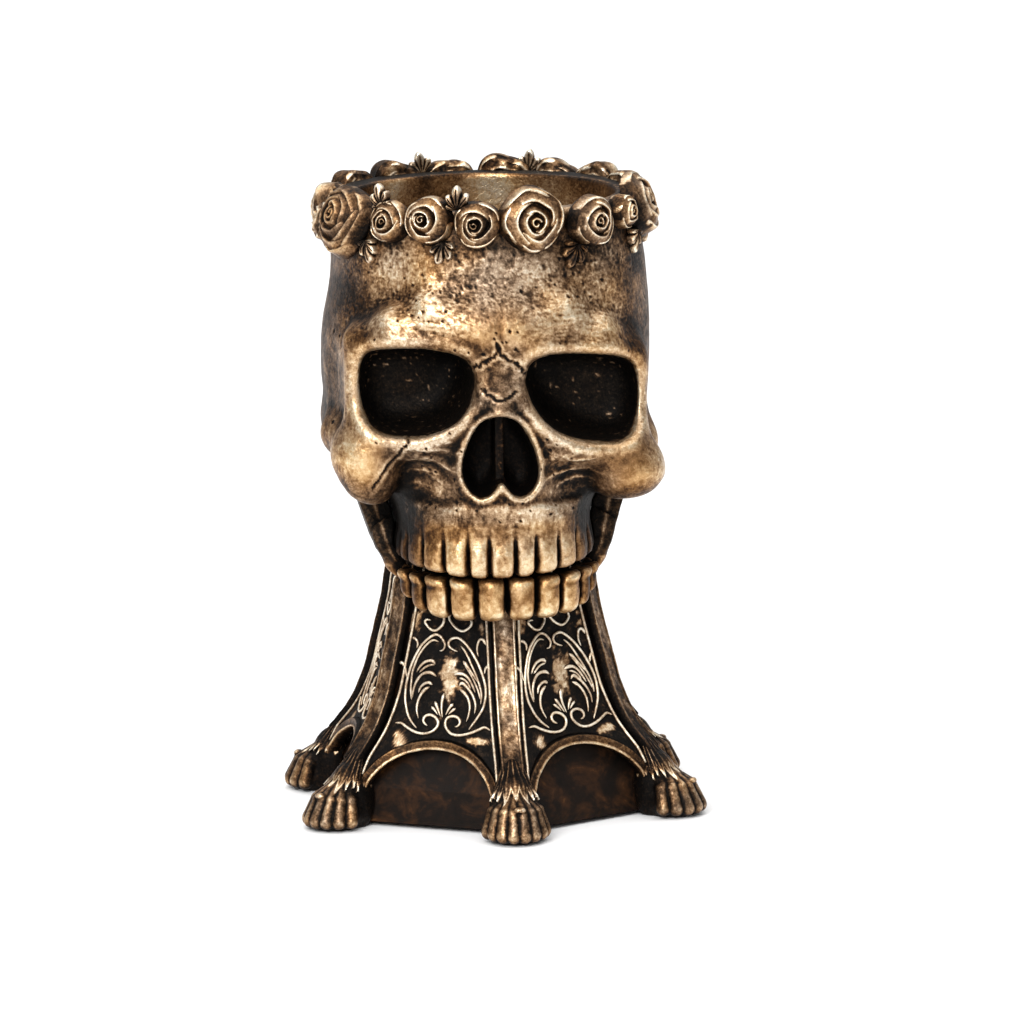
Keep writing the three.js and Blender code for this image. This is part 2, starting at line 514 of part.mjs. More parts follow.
// Each branch is as deep as the space between it and the upper jaw.
function jawWebs() {
  const s = new THREE.Shape();
  [[28, JAW_TOP_Z], [32.6, JAW_TOP_Z], [36, 86], [38.6, 96], [40.2, 106], [29, 106]].forEach(([x, z], i) => (i ? s.lineTo(x, z) : s.moveTo(x, z)));
  s.closePath();
  const g = new THREE.ExtrudeGeometry(s, { depth: 18, bevelEnabled: false });
  // shape x -> x, shape y -> z, depth -> backwards
  g.applyMatrix4(new THREE.Matrix4().makeBasis(new THREE.Vector3(1, 0, 0), new THREE.Vector3(0, 0, 1), new THREE.Vector3(0, -1, 0)));
  g.translate(0, 3, 0);
  const one = facingOut(g);
  return one.add(one.mirror([1, 0, 0]));
}
const LOWER_GAPS = [0, 9.4, 17.6, 24.4];
const jawLine = (() => {
  const c = new THREE.SplineCurve(JAW_OUTER.map(([x, f]) => new THREE.Vector2(x, f)));
  return (x) => {
    let lo = 0, hi = 1;
    for (let n = 0; n < 30; n++) c.getPoint((lo + hi) / 2).x < Math.abs(x) ? (lo = (lo + hi) / 2) : (hi = (lo + hi) / 2);
    return c.getPoint(lo).y - 0.9;
  };
})();
const jawInnerCut = (() => {
  // keeps the tooth band from filling the space in front of the neck
  const half = JAW_INNER.slice(0, 5), s = new THREE.Shape();
  [...half.slice(1).reverse().map(([x, f]) => [-x, f]), ...half].forEach(([x, f], i) => (i ? s.lineTo(x, -f) : s.moveTo(x, -f)));
  s.lineTo(25.4, 40);
  s.lineTo(-25.4, 40);
  s.closePath();
  return facingOut(new THREE.ExtrudeGeometry(s, { depth: 40, bevelEnabled: false }).translate(0, 0, 60));
})();
const lowerTeeth = toothBand(LOWER_GAPS, 1.3, 2, JAW_BOTTOM_Z, JAW_TOP_Z, -0.02, jawLine).subtract(jawInnerCut);
const jaw = largest(jawWall().add(jawWebs()).intersect(jawSide()).add(lowerTeeth).subtract(neckClear).subtract(skullClear));
add("lower_jaw", jaw, bronze);

// --------------------------------------------------------------------- crown
// A point on the skull's outer skin at an angle from the face and a height.
function onSkull(angle, z) {
  const dx = Math.sin(angle * D), df = Math.cos(angle * D);
  let r = 75;
  for (let n = 0; n < 400; n++) {
    const s = skullField(dx * r, df * r, z);
    if (s < 0.01) break;
    r -= Math.max(s * 0.7, 0.01);
  }
  return r;
}

function frameAt(angle, z, tilt, out) {
  const r = onSkull(angle, Math.min(z, RIM_Z - 3)) + out;
  const a = front + angle * D;
  const m = new THREE.Matrix4().makeRotationZ(a);
  // local Z turns outwards, local Y stays up
  const basis = new THREE.Matrix4().makeBasis(new THREE.Vector3(0, 1, 0), new THREE.Vector3(0, 0, 1), new THREE.Vector3(1, 0, 0));
  const lean = new THREE.Matrix4().makeRotationX(-tilt * D);
  return new THREE.Matrix4().makeTranslation(r * Math.cos(a), r * Math.sin(a), z).multiply(m).multiply(basis).multiply(lean);
}

function roseSolid(radius, turn, gap = 0) {
  const g = new THREE.SphereGeometry(1, 12, 7);
  g.rotateX(Math.PI / 2);
  const p = g.attributes.position;
  for (let i = 0; i < p.count; i++) {
    const [a, b, c] = [p.getX(i), p.getY(i), p.getZ(i)];
    const rho = Math.hypot(a, b), phi = Math.atan2(b, a) + turn;
    const lobe = 1 + 0.04 * Math.cos(5 * phi) * rho;
    const spiral = c > 0 ? 1 + 0.1 * Math.sin(rho * 9 + phi) * (1 - rho) : 1;
    p.setXYZ(i, a * (radius * lobe * 0.96 + gap), b * (radius * lobe * 0.96 + gap), c * (spiral * (c > 0 ? radius * 0.36 + 2.4 : 4) + gap));
  }
  return facingOut(g);
}

function leafSolid(length, width) {
  const s = new THREE.Shape();
  const half = [[0, -0.5], [0.3, -0.44], [0.48, -0.22], [0.5, 0.02], [0.42, 0.26], [0.24, 0.42], [0, 0.5]];
  half.forEach(([u, v], i) => (i ? s.lineTo(u * width, v * length) : s.moveTo(u * width, v * length)));
  half.slice(1, -1).reverse().forEach(([u, v]) => s.lineTo(-u * width, v * length));
  s.closePath();
  const g = new THREE.ExtrudeGeometry(s, { depth: 1.8, bevelEnabled: false });
  g.translate(0, 0, -0.6);
  return facingOut(g);
}
const place = (m, matrix) => m.transform(matrix.elements);

const roseAt = (i, gap) => {
  const [angle, z, radius, tilt] = ROSES[i];
  return place(roseSolid(radius * 1.05, i * 1.7, gap), frameAt(angle, z, tilt, 1.0));
};
const roses = ROSES.map((r, i) => roseAt(i, 0));
const mouth = facingOut(lathe([[0, 150], [45.4, 150], [45.4, 215], [0, 215]], 48).translate(0, CAVITY_CENTRE_Y, 0));
roses.forEach((m, i) => {
  // nothing hangs over the mouth of the vase
  let cut = m.subtract(skullClear).subtract(mouth);
  if (i > 0) cut = cut.subtract(roseAt(i - 1, GLUE));
  if (i === roses.length - 1) cut = cut.subtract(roseAt(0, GLUE));
  roses[i] = largest(cut);
  add(`rose_${String(i + 1).padStart(2, "0")}`, roses[i], bronze);
});
LEAVES.forEach(([angle, z, length, width, turn], i) => {
  const local = new THREE.Matrix4().makeRotationZ(turn * D);
  const high = z > RIM_Z;
  let leaf = place(leafSolid(length, width), frameAt(angle, z, high ? 4 : -4, high ? 1.4 : 0.7).multiply(local));
  leaf = leaf.subtract(skullClear).subtract(mouth);
  ROSES.forEach((r, k) => {
    if (Math.abs(((angle - r[0] + 540) % 360) - 180) < 32) leaf = leaf.subtract(roseAt(k, GLUE));
  });
  add(`leaf_${String(i + 1).padStart(2, "0")}`, largest(leaf), bronzeBright);
});

export default part;
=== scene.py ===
import math
import bpy
import numpy as np
import openvdb as vdb
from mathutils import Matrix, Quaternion, Vector


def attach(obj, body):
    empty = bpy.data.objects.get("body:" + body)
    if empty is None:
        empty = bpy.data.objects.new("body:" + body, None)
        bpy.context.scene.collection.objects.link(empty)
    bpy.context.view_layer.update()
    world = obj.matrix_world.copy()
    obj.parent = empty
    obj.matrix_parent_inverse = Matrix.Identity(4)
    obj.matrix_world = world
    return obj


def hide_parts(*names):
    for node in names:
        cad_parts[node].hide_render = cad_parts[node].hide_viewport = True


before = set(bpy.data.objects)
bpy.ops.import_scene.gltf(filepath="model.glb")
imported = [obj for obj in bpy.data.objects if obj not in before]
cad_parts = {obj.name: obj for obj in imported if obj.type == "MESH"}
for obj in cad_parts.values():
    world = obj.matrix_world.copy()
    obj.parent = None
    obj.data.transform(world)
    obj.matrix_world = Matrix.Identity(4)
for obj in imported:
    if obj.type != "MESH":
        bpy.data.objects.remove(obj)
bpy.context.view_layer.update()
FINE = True

# All geometry below is worked out in millimetres in the object's frame:
# x to the vase's right as seen from in front, f = -y forwards out of the face,
# z up from the floor. Meshes are scaled to metres when they are made.
D = math.pi / 180
FRONT = -90 * D
PIECES = []


# ------------------------------------------------------------------- numbers
def lerp_table(z, table):
    """table rows are (value, z)."""
    t = np.array(sorted(table, key=lambda p: p[1]), float)
    return np.interp(z, t[:, 1], t[:, 0])


RIB = [(30.2, 83.7), (32.2, 79), (34.4, 74), (36.2, 65), (39.6, 52), (43.8, 38), (48.6, 29), (55.2, 21)]
CORE = [(27.6, 84), (29.4, 79), (31.4, 74), (33.2, 65), (36.2, 52), (40.2, 38), (43.6, 30), (45.2, 26), (47.6, 20), (52.2, 12), (54.2, 1.5)]


def smooth_rib():
    """The rib's outer line as a smooth curve through its stations."""
    t = np.array(sorted(RIB, key=lambda p: p[1]), float)
    z = np.linspace(t[0, 1], t[-1, 1], 240)
    # monotone cubic through the stations
    h = np.diff(t[:, 1])
    s = np.diff(t[:, 0]) / h
    m = np.zeros(len(t))
    m[1:-1] = (s[:-1] * h[1:] + s[1:] * h[:-1]) / (h[1:] + h[:-1])
    m[0], m[-1] = s[0], s[-1]
    i = np.clip(np.searchsorted(t[:, 1], z) - 1, 0, len(t) - 2)
    u = (z - t[i, 1]) / h[i]
    r = ((2 * u**3 - 3 * u**2 + 1) * t[i, 0] + (u**3 - 2 * u**2 + u) * h[i] * m[i]
         + (-2 * u**3 + 3 * u**2) * t[i + 1, 0] + (u**3 - u**2) * h[i] * m[i + 1])
    return z, r


RIB_Z, RIB_R = smooth_rib()


def rib_radius(z):
    z = np.asarray(z, float)
    return np.where(z > 21, np.interp(z, RIB_Z, RIB_R), 55.2 + (21 - z) * 0.55)


def face_apothem(z):
    return rib_radius(z) * math.cos(30 * D) - 1.1


# --------------------------------------------------------------------- noise
def _hash(ix, iy, iz, seed):
    h = (ix.astype(np.uint32) * np.uint32(374761393) + iy.astype(np.uint32) * np.uint32(668265263)
         + iz.astype(np.uint32) * np.uint32(1274126177) + np.uint32(seed * 97531 + 17))
    h = (h ^ (h >> np.uint32(13))) * np.uint32(1103515245)
    h = (h ^ (h >> np.uint32(15))) * np.uint32(2246822519)
    h = h ^ (h >> np.uint32(16))
    return (h & np.uint32(0xFFFFFF)).astype(np.float32) / np.float32(0xFFFFFF)


def noise(P, size, seed=0):
    """Smooth noise from 0 to 1 with cells of `size` mm (one number or three)."""
    p = np.asarray(P, np.float32) / np.asarray(size, np.float32)
    i = np.floor(p).astype(np.int64)
    f = p - i
    u = f * f * f * (f * (f * 6 - 15) + 10)
    out = np.zeros(len(p), np.float32)
    for a in (0, 1):
        wa = u[:, 0] if a else 1 - u[:, 0]
        for b in (0, 1):
            wb = u[:, 1] if b else 1 - u[:, 1]
            for c in (0, 1):
                wc = u[:, 2] if c else 1 - u[:, 2]
                out += wa * wb * wc * _hash(i[:, 0] + a, i[:, 1] + b, i[:, 2] + c, seed)
    return out


def fbm(P, size, octaves=3, seed=0, gain=0.5):
    total, amp, norm = 0, 1.0, 0
    size = np.asarray(size, np.float32)
    for k in range(octaves):
        total = total + amp * noise(P + 13.7 * k, size / 2**k, seed + k)
        norm += amp
        amp *= gain
    return total / norm


def step(a, b, x):
    t = np.clip((x - a) / (b - a), 0, 1)
    return t * t * (3 - 2 * t)


def gauss(x, s):
    return np.exp(-(x / s) ** 2)


# ------------------------------------------------------------ distance fields
def smin(a, b, k):
    h = np.clip(0.5 + 0.5 * (b - a) / k, 0, 1)
    return b + (a - b) * h - k * h * (1 - h)


def smax(a, b, k):
    return -smin(-a, -b, k)


def ell(x, f, z, c, r):
    dx, df, dz = x - c[0], f - c[1], z - c[2]
    k0 = np.sqrt((dx / r[0]) ** 2 + (df / r[1]) ** 2 + (dz / r[2]) ** 2)
    k1 = np.sqrt((dx / r[0] ** 2) ** 2 + (df / r[1] ** 2) ** 2 + (dz / r[2] ** 2) ** 2)
    return k0 * (k0 - 1) / np.maximum(k1, 1e-6)


def bar(x, f, z, a, b, ra, rb):
    ba = [b[i] - a[i] for i in range(3)]
    n = sum(v * v for v in ba)
    pa = (x - a[0], f - a[1], z - a[2])
    h = np.clip((pa[0] * ba[0] + pa[1] * ba[1] + pa[2] * ba[2]) / n, 0, 1)
    return np.sqrt((pa[0] - ba[0] * h) ** 2 + (pa[1] - ba[1] * h) ** 2 + (pa[2] - ba[2] * h) ** 2) - (ra + (rb - ra) * h)


def braincase(x, f, z):
    n, m = 2.4, 2.35
    dz = (z - 143) / np.where(z > 143, 95.0, 55.0)
    plan = (x / 51.0) ** m + np.abs((f + 3) / np.where(f > -3, 51.5, 54.0)) ** m
    return ((plan ** (n / m) + np.abs(dz) ** n) ** (1 / n) - 1) * 50.0


def tooth_plan(x, f):
    n = 2.3
    g = ((x / 30.0) ** n + (np.maximum(f - 14, 0) / 35.5) ** n) ** (1 / n)
    return (g - 1) * 30.0


def arc_table(rx, rf, back, n):
    """Length along half a tooth row against the polar angle from its middle."""
    t = np.linspace(0, math.pi / 2, 400)
    x = rx * np.sin(t) ** (2 / n)
    f = back + rf * np.cos(t) ** (2 / n)
    s = np.concatenate([[0], np.cumsum(np.hypot(np.diff(x), np.diff(f)))])
    return np.arctan2(x, np.maximum(f - back, 0)), s, x


def row_position(x, f, back, table):
    ang = np.arctan2(x, np.maximum(f - back, 0))
    return np.interp(ang, table[0], table[1]) + np.maximum(back - f, 0)


UPPER = arc_table(30.0, 35.5, 14, 2.3)
LOWER = arc_table(34.5, 40.6, 6, 2.2)


def gap_list(xs, table, spacing, count):
    s = [float(np.interp(x, table[2], table[1])) for x in xs]
    while len(s) < count:
        s.append(s[-1] + spacing)
    return np.array(s)


UPPER_GAPS = gap_list([4.1, 10.7, 17.9, 23.8, 27.8], UPPER, 6.4, 8)
LOWER_GAPS = gap_list([0, 10.2, 19.0, 26.2], LOWER, 7.6, 7)


def tooth_table(gaps, half_first, depth, width, bulge, seed):
    """Relief of one row against the length along it: groove minus crown."""
    s = np.linspace(0, gaps[-1] + 12, 2400)
    edges = np.concatenate([[-gaps[0]] if half_first else [], gaps, [gaps[-1] + 9]])
    near = np.min(np.abs(s[:, None] - gaps[None, :]), axis=1)
    mid = (edges[:-1] + edges[1:]) / 2
    half = np.diff(edges) / 2
    k = np.clip(np.searchsorted(edges, s) - 1, 0, len(mid) - 1)
    crown = 1 - np.clip(np.abs(s - mid[k]) / half[k], 0, 1) ** 2.0
    r = np.random.default_rng(seed)
    lift = r.uniform(-0.18, 0.18, len(mid))[k]
    groove = np.exp(-np.abs(near / width) ** 2.2)
    return s, depth * groove - bulge * crown - lift * crown, groove


UP_S, UP_R, UP_G = tooth_table(UPPER_GAPS, True, 2.0, 0.66, 1.15, 3)
LO_S, LO_R, LO_G = tooth_table(LOWER_GAPS, False, 2.6, 0.66, 1.9, 5)


class Outline:
    """Signed distance to a closed outline in (side, height), looked up in a grid."""

    def __init__(self, points, x0, x1, z0, z1, pitch=0.25, mirror=False):
        p = np.array(points, float)
        q = np.vstack([p[-2:], p, p[:2]])
        dense = []
        for i in range(2, len(q) - 2):
            t = np.linspace(0, 1, 6, endpoint=False)[:, None]
            a, b, c, d = q[i - 1], q[i], q[i + 1], q[i + 2]
            dense.append(0.5 * (2 * b + (c - a) * t + (2 * a - 5 * b + 4 * c - d) * t**2 + (3 * b - a - 3 * c + d) * t**3))
        p = np.vstack(dense)
        xs, zs = np.arange(x0, x1 + pitch, pitch), np.arange(z0, z1 + pitch, pitch)
        X, Z = (v.ravel() for v in np.meshgrid(xs, zs, indexing="ij"))
        best = np.full(X.shape, 1e9)
        inside = np.zeros(X.shape, bool)
        for (ax, az), (bx, bz) in zip(p, np.roll(p, -1, axis=0)):
            n = max((bx - ax) ** 2 + (bz - az) ** 2, 1e-9)
            h = np.clip(((X - ax) * (bx - ax) + (Z - az) * (bz - az)) / n, 0, 1)
            best = np.minimum(best, np.hypot(X - ax - h * (bx - ax), Z - az - h * (bz - az)))
            cross = (az > Z) != (bz > Z)
            inside ^= cross & (X < (bx - ax) * (Z - az) / ((bz - az) if bz != az else 1e-9) + ax)
        self.g = np.where(inside, -best, best).reshape(len(xs), len(zs))
        self.x0, self.z0, self.pitch = x0, z0, pitch

    def __call__(self, x, z):
        u = np.clip((x - self.x0) / self.pitch, 0, self.g.shape[0] - 1.001)
        v = np.clip((z - self.z0) / self.pitch, 0, self.g.shape[1] - 1.001)
        i, j = u.astype(int), v.astype(int)
        u, v = u - i, v - j
        g = self.g
        return (g[i, j] * (1 - u) + g[i + 1, j] * u) * (1 - v) + (g[i, j + 1] * (1 - u) + g[i + 1, j + 1] * u) * v


# outlines for |x|: a rounded oblong socket with its lower inner corner drawn
# off, and a pear-shaped nose opening with a notch at its foot
socket2d = Outline([(39.6, 148.9), (33.6, 150.6), (26.0, 151.1), (19.4, 151.0), (14.2, 150.2), (10.0, 148.0), (7.9, 144.4), (7.8, 139.6),
                    (10.2, 133.2), (14.6, 128.0), (20.4, 125.0), (27.0, 123.4), (32.8, 123.2), (38.0, 124.8), (41.4, 128.6),
                    (43.0, 133.6), (43.3, 139.6), (42.3, 145.2)], -2, 62, 90, 180)
nose2d = Outline([(0, 131.2), (3.0, 130.6), (5.8, 128.6), (8.6, 124.7), (10.9, 119.7), (12.0, 114.7), (11.6, 110.4), (9.6, 107.0), (6.6, 105.3),
                  (3.8, 106.0), (1.9, 108.0), (0, 109.8), (-1.9, 108.0), (-3.8, 106.0), (-6.6, 105.3), (-9.6, 107.0), (-11.6, 110.4),
                  (-12.0, 114.7), (-10.9, 119.7), (-8.6, 124.7), (-5.8, 128.6), (-3.0, 130.6)], -2, 30, 95, 145)


def face_frame(sx, f, z):
    """The face is turned a little on its axis, and its right half hangs lower."""
    x = sx + 0.028 * f
    w = step(99, 113, z) * (1 - step(166, 182, z)) * step(-10, 20, f)
    return x, z + (0.060 + 0.030 * step(4, 24, x)) * x * w


def skull_outer(sx, f, z):
    d = braincase(np.abs(sx), f, z)
    # the temple on the left lies a little flatter
    d = d + 2.6 * gauss((z - 168) / 13.5, 1) * step(18, 44, -sx)
    x, z = face_frame(sx, f, z)
    fuller = np.where(x > 0, 12.4 / 10.6, 1.0)
    x = np.abs(x)
    d = smin(d, bar(x, f, z, (15, 45.6, 154.6), (31, 40.6, 155), 4.4, 4.4), 8)
    d = smin(d, bar(x, f, z, (31, 40.6, 155), (40.8, 31, 149.5), 4.4, 4.0), 8)
    d = smin(d, bar(x, f, z, (4, 47.4, 155.5), (20, 44.4, 162.5), 4.2, 3.4), 9)
    d = smin(d, ell(x, f, z, (0, 45.2, 157.5), (11, 6.6, 9)), 8)
    d = smin(d, bar(x, f, z, (40.8, 31, 149.5), (41.8, 31.5, 127), 4.0, 4.2), 6)
    d = smin(d, ell(39.6 + (x - 39.6) / fuller, f, 114 + (z - 114) / (1 + 0.28 * (fuller - 1)), (39.6, 33.5, 114), (10.6, 11, 13)), 6)
    d = smin(d, bar(x, f, z, (38, 37, 120.5), (23, 42.3, 119.5), 4.4, 4.0), 6)
    d = smin(d, bar(x, f, z, (23, 42.3, 119.5), (11, 46.5, 130), 4.2, 3.6), 6)
    d = smin(d, bar(x, f, z, (44.6, 28, 115), (46.4, 10, 118), 4.6, 3.6), 8)
    d = smin(d, bar(x, f, z, (46.4, 10, 118), (44.6, -14, 121), 3.6, 4.4), 9)
    d = smin(d, bar(x, f, z, (0, 45.0, 149), (0, 49.5, 133.5), 5.6, 5.0), 6)
    d = smin(d, ell(x, f, z, (0, 16, 108), (29, 34, 26)), 8)
    # the base of the skull, behind the jaw
    d = smin(d, ell(x, f, z, (0, -10, 99), (37, 30, 15.5)), 6)
    # the tooth row, with its grooves cut into it and crowns standing out
    s = row_position(x, f, 14, UPPER)
    relief = np.interp(s, UP_S, UP_R)
    drop = 79.9 + 0.0036 * x**2
    fade = 1 - step(86.0, 94.0, z)
    front = step(-2, 3, f)
    mid = np.abs(z - (drop + 102.4) / 2) - (102.4 - drop) / 2
    row = tooth_plan(x, f) + relief * fade * front
    # crowns draw in slightly towards the biting edge
    row = row + 1.1 * (1 - step(79, 84, z))
    row = smax(row, mid + 0.55 * np.maximum(relief + 0.9, 0) * front * fade, 1.8)
    row = smax(row, -f - 4, 4)
    d = smin(d, row, 3.0)
    d = smin(d, bar(x, f, z, (37, -14, 108), (34, -12, 96), 7.5, 5.5), 8)
    d = smax(d, -ell(x, f, z, (60, 17, 136), (11.5, 13, 15)), 6)
    d = smax(d, -ell(x, f, z, (24.5, 50, 108), (7.5, 8.5, 8)), 7)
    d = smax(d, -ell(x, f, z, (41.5, 18, 99), (9.5, 18, 14)), 4)
    # grooves run on up into the gum as shallow valleys between the roots
    root = np.interp(s, UP_S, UP_G) - 0.3
    d = d + root * 0.16 * step(88, 93, z) * (1 - step(94, 99, z)) * step(20, 28, f) * gauss(tooth_plan(x, f), 5)
    return d


def bore(x, f, z):
    """The vase's cavity."""
    r = np.interp(z, [104, 108, 130, 160, 187, 199], [20, 24, 31, 39, 41, 41.4])
    fc = -(2 + 11 * np.clip((193 - z) / 89, 0, 1))
    return smax((np.sqrt(x * x + (f - fc) ** 2) - r) * 0.92, 104 - z, 4)


def skull_field(sx, f, z):
    d = skull_outer(sx, f, z)
    fx, fz = face_frame(sx, f, z)
    x = np.abs(fx)
    front = np.clip((f - 14) / 14, 0, 1)
    s2 = socket2d(np.where(fx > 0, x / 1.05, x), fz + 0.7 * (fx < 0))
    n2 = nose2d(x, fz)
    d = d - front * 1.1 * np.exp(-((s2 - 2.0) / 2.6) ** 2)
    d = d - front * 1.1 * np.exp(-((n2 - 0.8) / 1.2) ** 2)
    back = np.clip((46 - f) / 24, 0, 1.4)
    d = smax(d, -smax(s2 + 4.4 * back**1.8, 24.0 - f, 7), 1.1)
    backn = np.clip((50 - f) / 16, 0, 1.4)
    nose = smax(n2 + 1.8 * backn**1.5, 34.0 - f, 5)
    # the septum stands down the middle, set back from the opening
    nose = smax(nose, np.where(f < 43.5, 1.3 - x, -5.0) * 0.9, 1.5)
    d = smax(d, -nose, 0.8)
    # nasal spine below the opening
    d = smin(d, bar(x, f, fz, (0, 47.0, 105.0), (0, 51.0, 108.6), 1.6, 0.8), 1.8)
    d = smax(d, z - 193.0, 1.6)
    d = smax(d, -bore(sx, f, z), 1.2)
    # seat for the pedestal's neck
    d = smax(d, -smax(np.sqrt(sx * sx + f * f) - 33.6, z - 84.3, 1), 1)
    return d


def jaw_width(z):
    """The jaw's width at a height, against that of its outline."""
    return np.interp(z, [66, 76, 84, 108.4], [0.905, 0.915, 1.08, 1.30])


def jaw_field(sx, f, z):
    x = np.abs(sx)
    xs = x / jaw_width(z)
    n = 2.2
    s = row_position(xs, f, 6, LOWER)
    relief = np.interp(s, LO_S, LO_R)
    front = step(4, 14, f)
    out = ((xs / 34.5) ** n + (np.maximum(f - 6, 0) / 40.6) ** n) ** (1 / n)
    out = (out - 1) * 34.5 + relief * front * (1 - step(78, 84, z)) + 0.02 * np.clip(z - 73, -8, 6) ** 2 * step(15, 21, f) * (z < 82)
    xi = np.where(z > 79, np.maximum(x, xs) + (z - 79) * 0.02, xs)
    inn = ((xi / 29.9) ** n + (np.maximum(f - 6, 0) / 30.4) ** n) ** (1 / n)
    inn = (inn - 1) * 30
    low = np.interp(f, [-2, 2, 8, 16, 24, 32, 40], [108, 94, 85, 78, 71.2, 67.4, 66])
    high = np.interp(f, [10, 12, 16, 21], [108, 96, 86, 79.4])
    slope = np.where(f < 16, 0.55, 0.9)
    row = smax(out, -inn, 1.2)
    # blocks are rounded over at the top and bottom, most at their corners
    blocks = step(15, 21, f)
    lift = 0.55 * np.maximum(relief, -0.4) * front * (1 - blocks) + 0.70 * np.maximum(relief + 1.5, 0) * blocks
    row = smax(row, (low - z) * slope + lift, 2.6)
    row = smax(row, (z - high) * slope + lift * 0.8, 2.2)
    row = smax(row, z - 107.5 + 0.06 * np.clip(f - 4, -7, 7) ** 2, 2)
    # stays under and outside the skull casting, and outside the ribs beside it
    rib = smax(np.abs(0.5 * x - 0.866 * f) - 3.8, 0.866 * x + 0.5 * f - rib_radius(z) - 0.3, 0.3)
    row = smax(row, -smax(rib, z - 84.0, 0.3), 0.4)
    return smax(row, 0.45 - skull_outer(sx, f, z), 0.5)


def polygonise(fn, lo, hi, h, block=8, margin=2.6):
    """Surface of a field, worked out only near where it changes sign."""
    n = [int(math.ceil((hi[i] - lo[i]) / h / block)) for i in range(3)]
    c = [lo[i] + (np.arange(n[i]) + 0.5) * block * h - 0.5 * h for i in range(3)]
    X, F, Z = np.meshgrid(*c, indexing="ij")
    dc = fn(X, F, Z)
    near = np.abs(dc) < 0.866 * block * h * 1.2 + margin
    grid = np.empty(tuple(n) + (block,) * 3, np.float32)
    grid[:] = np.where(dc > 0, 4.0, -4.0)[:, :, :, None, None, None]
    idx = np.argwhere(near)
    off = np.arange(block) * h
    for k in range(0, len(idx), 3000):
        b = idx[k:k + 3000]
        P = [lo[i] + b[:, i, None] * block * h + off[None, :] for i in range(3)]
        X = np.broadcast_to(P[0][:, :, None, None], (len(b), block, block, block))
        F = np.broadcast_to(P[1][:, None, :, None], X.shape)
        Z = np.broadcast_to(P[2][:, None, None, :], X.shape)
        grid[b[:, 0], b[:, 1], b[:, 2]] = fn(X, F, Z)
    full = grid.transpose(0, 3, 1, 4, 2, 5).reshape([n[i] * block for i in range(3)])
    g = vdb.FloatGrid()
    g.background = 4.0
    g.copyFromArray(np.ascontiguousarray(np.clip(full, -4, 4)))
    pts, tris, quads = g.convertToPolygons(isovalue=0.0, adaptivity=0.0)
    pts = np.asarray(pts, float) * h + np.array(lo)
    faces = np.asarray(quads, np.int64).reshape(-1, 4)
    pts = np.column_stack([pts[:, 0], -pts[:, 1], pts[:, 2]])
    V, Fq = drop_crumbs(pts, faces)
    if volume(V, Fq) < 0:
        Fq = Fq[:, ::-1]
    return V, Fq


def drop_crumbs(V, F):
    """Keeps the largest connected shell only."""
    lab = np.arange(len(V))
    e = np.concatenate([F[:, [0, 1]], F[:, [1, 2]], F[:, [2, 3]]])
    for _ in range(400):
        m = np.minimum(lab[e[:, 0]], lab[e[:, 1]])
        new = lab.copy()
        np.minimum.at(new, e[:, 0], m)
        np.minimum.at(new, e[:, 1], m)
        new = new[new]
        if (new == lab).all():
            break
        lab = new
    ids, counts = np.unique(lab, return_counts=True)
    keep = lab == ids[np.argmax(counts)]
    remap = np.cumsum(keep) - 1
    F = F[keep[F[:, 0]]]
    return V[keep], remap[F]


def volume(V, F):
    a, b, c, d = (V[F[:, i]] for i in range(4))
    return float((np.einsum("ij,ij->i", a, np.cross(b, c)) + np.einsum("ij,ij->i", a, np.cross(c, d))).sum()) / 6


def normals_of(V, F):
    N = np.zeros_like(V)
    A = np.zeros(len(V))
    for f in F if isinstance(F, list) else [F]:
        if not len(f):
            continue
        if f.shape[1] == 4:
            fn = np.cross(V[f[:, 2]] - V[f[:, 0]], V[f[:, 3]] - V[f[:, 1]]) / 2
        else:
            fn = np.cross(V[f[:, 1]] - V[f[:, 0]], V[f[:, 2]] - V[f[:, 0]]) / 2
        area = np.linalg.norm(fn, axis=1) / f.shape[1]
        for i in range(f.shape[1]):
            for k in range(3):
                N[:, k] += np.bincount(f[:, i], fn[:, k], len(V))
            A += np.bincount(f[:, i], area, len(V))
    N /= np.maximum(np.linalg.norm(N, axis=1, keepdims=True), 1e-9)
    return N, A


class Smoother:
    def __init__(self, n, F):
        e = []
        for f in F if isinstance(F, list) else [F]:
            if len(f):
                k = f.shape[1]
                for i in range(k):
                    e.append(f[:, [i, (i + 1) % k]])
        e = np.sort(np.concatenate(e), axis=1)
        key = np.unique(e[:, 0] * n + e[:, 1])
        self.a, self.b, self.n = key // n, key % n, n
        self.deg = np.maximum(np.bincount(self.a, minlength=n) + np.bincount(self.b, minlength=n), 1)

    def mean(self, v):
        if v.ndim == 1:
            return (np.bincount(self.a, v[self.b], self.n) + np.bincount(self.b, v[self.a], self.n)) / self.deg
        return np.column_stack([self.mean(v[:, k]) for k in range(v.shape[1])])

    def smooth(self, v, times, k=0.7):
        for _ in range(times):
            v = v + k * (self.mean(v) - v)
        return v


def polyline_distance(x, z, pts):
    best = np.full(len(x), 1e9)
    along = np.zeros(len(x))
    total = 0.0
    for (x0, z0), (x1, z1) in zip(pts[:-1], pts[1:]):
        n = (x1 - x0) ** 2 + (z1 - z0) ** 2
        h = np.clip(((x - x0) * (x1 - x0) + (z - z0) * (z1 - z0)) / n, 0, 1)
        d = np.hypot(x - x0 - h * (x1 - x0), z - z0 - h * (z1 - z0))
        near = d < best
        along = np.where(near, total + h * math.sqrt(n), along)
        best = np.where(near, d, best)
        total += math.sqrt(n)
    return best, along


